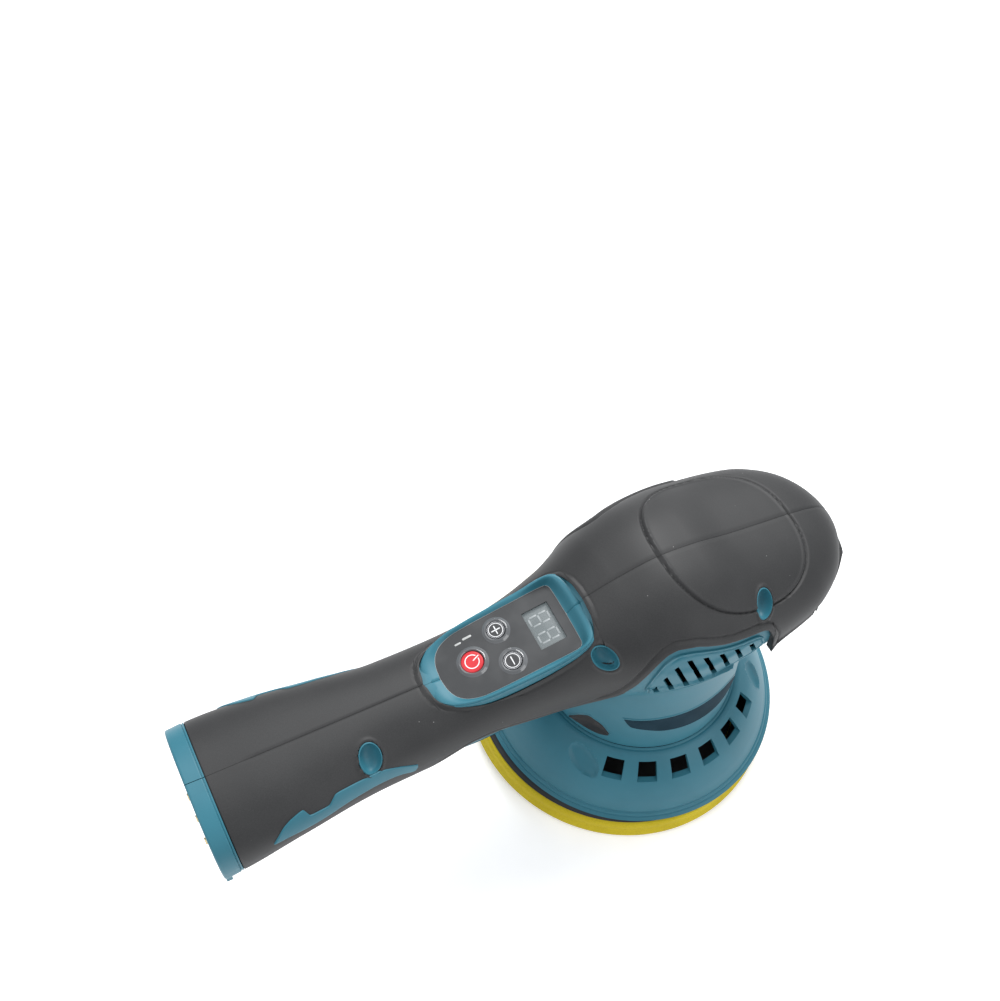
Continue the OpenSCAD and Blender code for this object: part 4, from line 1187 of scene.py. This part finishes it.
def make_skirt():
    """Dust skirt: six windows a side with level ledges, four oval dimples and two rim grooves."""
    edges = [c + d for c in WINDOW_TURNS for d in np.linspace(-WINDOW_HALF, WINDOW_HALF, 9)]
    rest = [a for a in np.arange(0, 180, 0.6) if min(abs(a - e) for e in edges) > 0.35]
    half = np.unique(np.array(edges + rest))
    turn = np.radians(np.concatenate([half, half + 180]))
    r = np.concatenate([np.linspace(47.3, 49.4, 8), np.linspace(49.8, 53.1, 8)[:-1],
                        np.linspace(53.1, 60.5, 12), np.linspace(60.5, 68, 18)[1:],
                        np.linspace(68.3, 72.9, 24)])
    way = curve(r, SKIRT)
    z = way[None, :] + 0 * turn[:, None]
    rr = r[None, :] + 0 * z
    sink = groove(rr - 48.6, 0.9, 0.3) + groove(rr - 69.9, 0.8, 0.45) + groove(rr - 71.2, 0.7, 0.35)
    flat = np.stack([rr * np.cos(turn)[:, None], rr * np.sin(turn)[:, None]], -1)
    for ends in DIMPLES:
        for across in (1, -1):
            a, b = (radius * np.array([-np.cos(np.radians(at)), across * np.sin(np.radians(at))])
                    for radius, at in ends)
            run = (b - a) / np.linalg.norm(b - a)
            off = flat - (a + b) / 2
            long, wide = off @ run, off @ np.array([-run[1], run[0]])
            share = np.hypot(long / (np.linalg.norm(b - a) / 2), wide / 3.9)
            sink = sink - 2.4 * np.clip(1 - share ** 2, 0, 1) ** 0.5
    out_r, out_z = -np.gradient(way, r), 1.0
    size = np.hypot(out_r, out_z)
    nr, nz = (out_r / size)[None, :], (out_z / size)[None, :]
    rr, zz = rr + nr * sink, z + nz * sink
    level = np.exp(-((r - 56.8) / 5.5) ** 4)[None, :]
    depth_r = 2.3 * nr * (1 - level) + 3.0 * level
    depth_z = 2.3 * nz * (1 - level)
    inner_r, inner_z = rr - depth_r, zz - depth_z

    def placed(radius, height):
        """Points round the motor's axis, in the order of turn."""
        across, along = radius * np.sin(turn)[:, None], radius * np.cos(turn)[:, None]
        return np.stack([AXIS_X + along, across, height], -1)

    middle_turn = np.degrees((turn + np.roll(turn, -1)) / 2)
    middle_turn[-1] = (np.degrees(turn[-1]) + 360) / 2
    windows = np.array(WINDOW_TURNS + [c + 180 for c in WINDOW_TURNS])
    in_window = (np.abs(middle_turn[:, None] - windows) < WINDOW_HALF).any(1)
    middle_r = (r[:-1] + r[1:]) / 2
    band = (middle_r > WINDOW_TOP) & (middle_r < WINDOW_LOW)
    keep = ~(in_window[:, None] & band[None, :])
    shape = Shape()
    shape.walled(placed(rr, zz), placed(inner_r, inner_z), keep, wrap_u=True)
    piece = shape.build("dust_skirt", ["teal"], "body", "shell", 32)
    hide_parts("skirt")


def make_pad():
    """Foam pad with a rounded flank and a middle bore, and its hook fabric."""
    rim = [(72.6, 1.25), (73.8, 1.4), (74.7, 1.8), (75, 2.5), (74.6, 3.8), (73.9, 5.0), (73.4, 6.3),
           (73.3, 7.4), (73.3, 8.4), (72.9, 9.5), (72.2, 10.2), (71, 10.55)]
    profile = [(10, 1.25), (10.5, 1.25), (40, 1.25)] + rim + [(65, 10.6), (59, 10.6), (58.5, 10.3),
                                                               (58.4, 7.7), (30, 7.6), (10, 7.6)]
    pad = Shape()
    pad.spin(profile, 256)
    piece = pad.build("foam_disc", ["foam"], "pad", "pad_foam", 40)
    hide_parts("foam_pad")
    # Dark loop layer on the pad's back: the pad has a loop layer there, and it is made dark as painted
    # shade for the view through the skirt's windows.
    loop = Shape()
    loop.spin([(58.6, 10.4), (71.2, 10.6), (71.4, 10.75), (71.2, 10.9), (58.6, 10.9)], 192)
    loop.build("loop_backing_and_window_shade", ["dark"], "pad", "pad_plate", 40)
    cloth = Shape()
    cloth.spin([(10, 0.1), (40, 0.02), (73.6, 0.02), (74.2, 0.2), (74.3, 0.7), (73.8, 1.2), (40, 1.2),
                (10, 1.2)], 256)
    piece = cloth.build("hook_disc", ["hook"], "pad", "hook_fabric", 40)
    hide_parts("hook_face")


make_grips()
make_head_walls()
make_tubes()
make_leaf_vents()
make_stripes()
make_dishes()
make_collars()
make_rings()
make_panel()
make_keys()
make_display()
make_badges()
make_skirt()
make_pad()

# ---------------------------------------------------------------------------------------------
# Finishes of the parts that come from the CAD model, and floor
# ---------------------------------------------------------------------------------------------

FINISH = {
    "panel_circuit_board": "board", "tact_switches": "dark", "skirt_screws": "steel",
    "housing_screws": "steel", "stator_core": "core", "stator_coils": "copper",
    "bearing_bracket": "cast", "bracket_screws": "steel", "upper_bearing": "steel",
    "bearing_sleeve": "cast", "lower_bearing": "steel", "rotor_core": "core",
    "rotor_magnets": "dark", "motor_shaft": "steel", "cooling_fan": "dark",
    "counterweight": "zinc_red", "spindle_bearing_upper": "steel", "spindle_bearing_lower": "steel",
    "bearing_spacer": "steel", "pad_spindle": "steel", "retaining_ring": "steel",
    "pad_screw": "steel", "pad_washer": "zinc", "backing_plate": "dark",
    "controller_tray": "dark", "controller_board": "board", "capacitors": "dark",
    "terminal_block": "dark", "terminal_blades": "brass", "power_leads": "lead",
    "motor_leads": "lead", "panel_cable": "lead",
}
for node_name, finish in FINISH.items():
    mesh = nodes[node_name].data
    mesh.materials.clear()
    mesh.materials.append(MATS[finish])

floor_mesh = bpy.data.meshes.new("floor")
reach = 1.5
corners = [(a * reach, b * reach, 0.0) for a, b in ((-1, -1), (1, -1), (1, 1), (-1, 1))]
floor_mesh.from_pydata(corners, [], [(0, 1, 2, 3)])
floor_mesh.materials.append(MATS["floor"])
floor = bpy.data.objects.new("floor", floor_mesh)
bpy.context.scene.collection.objects.link(floor)
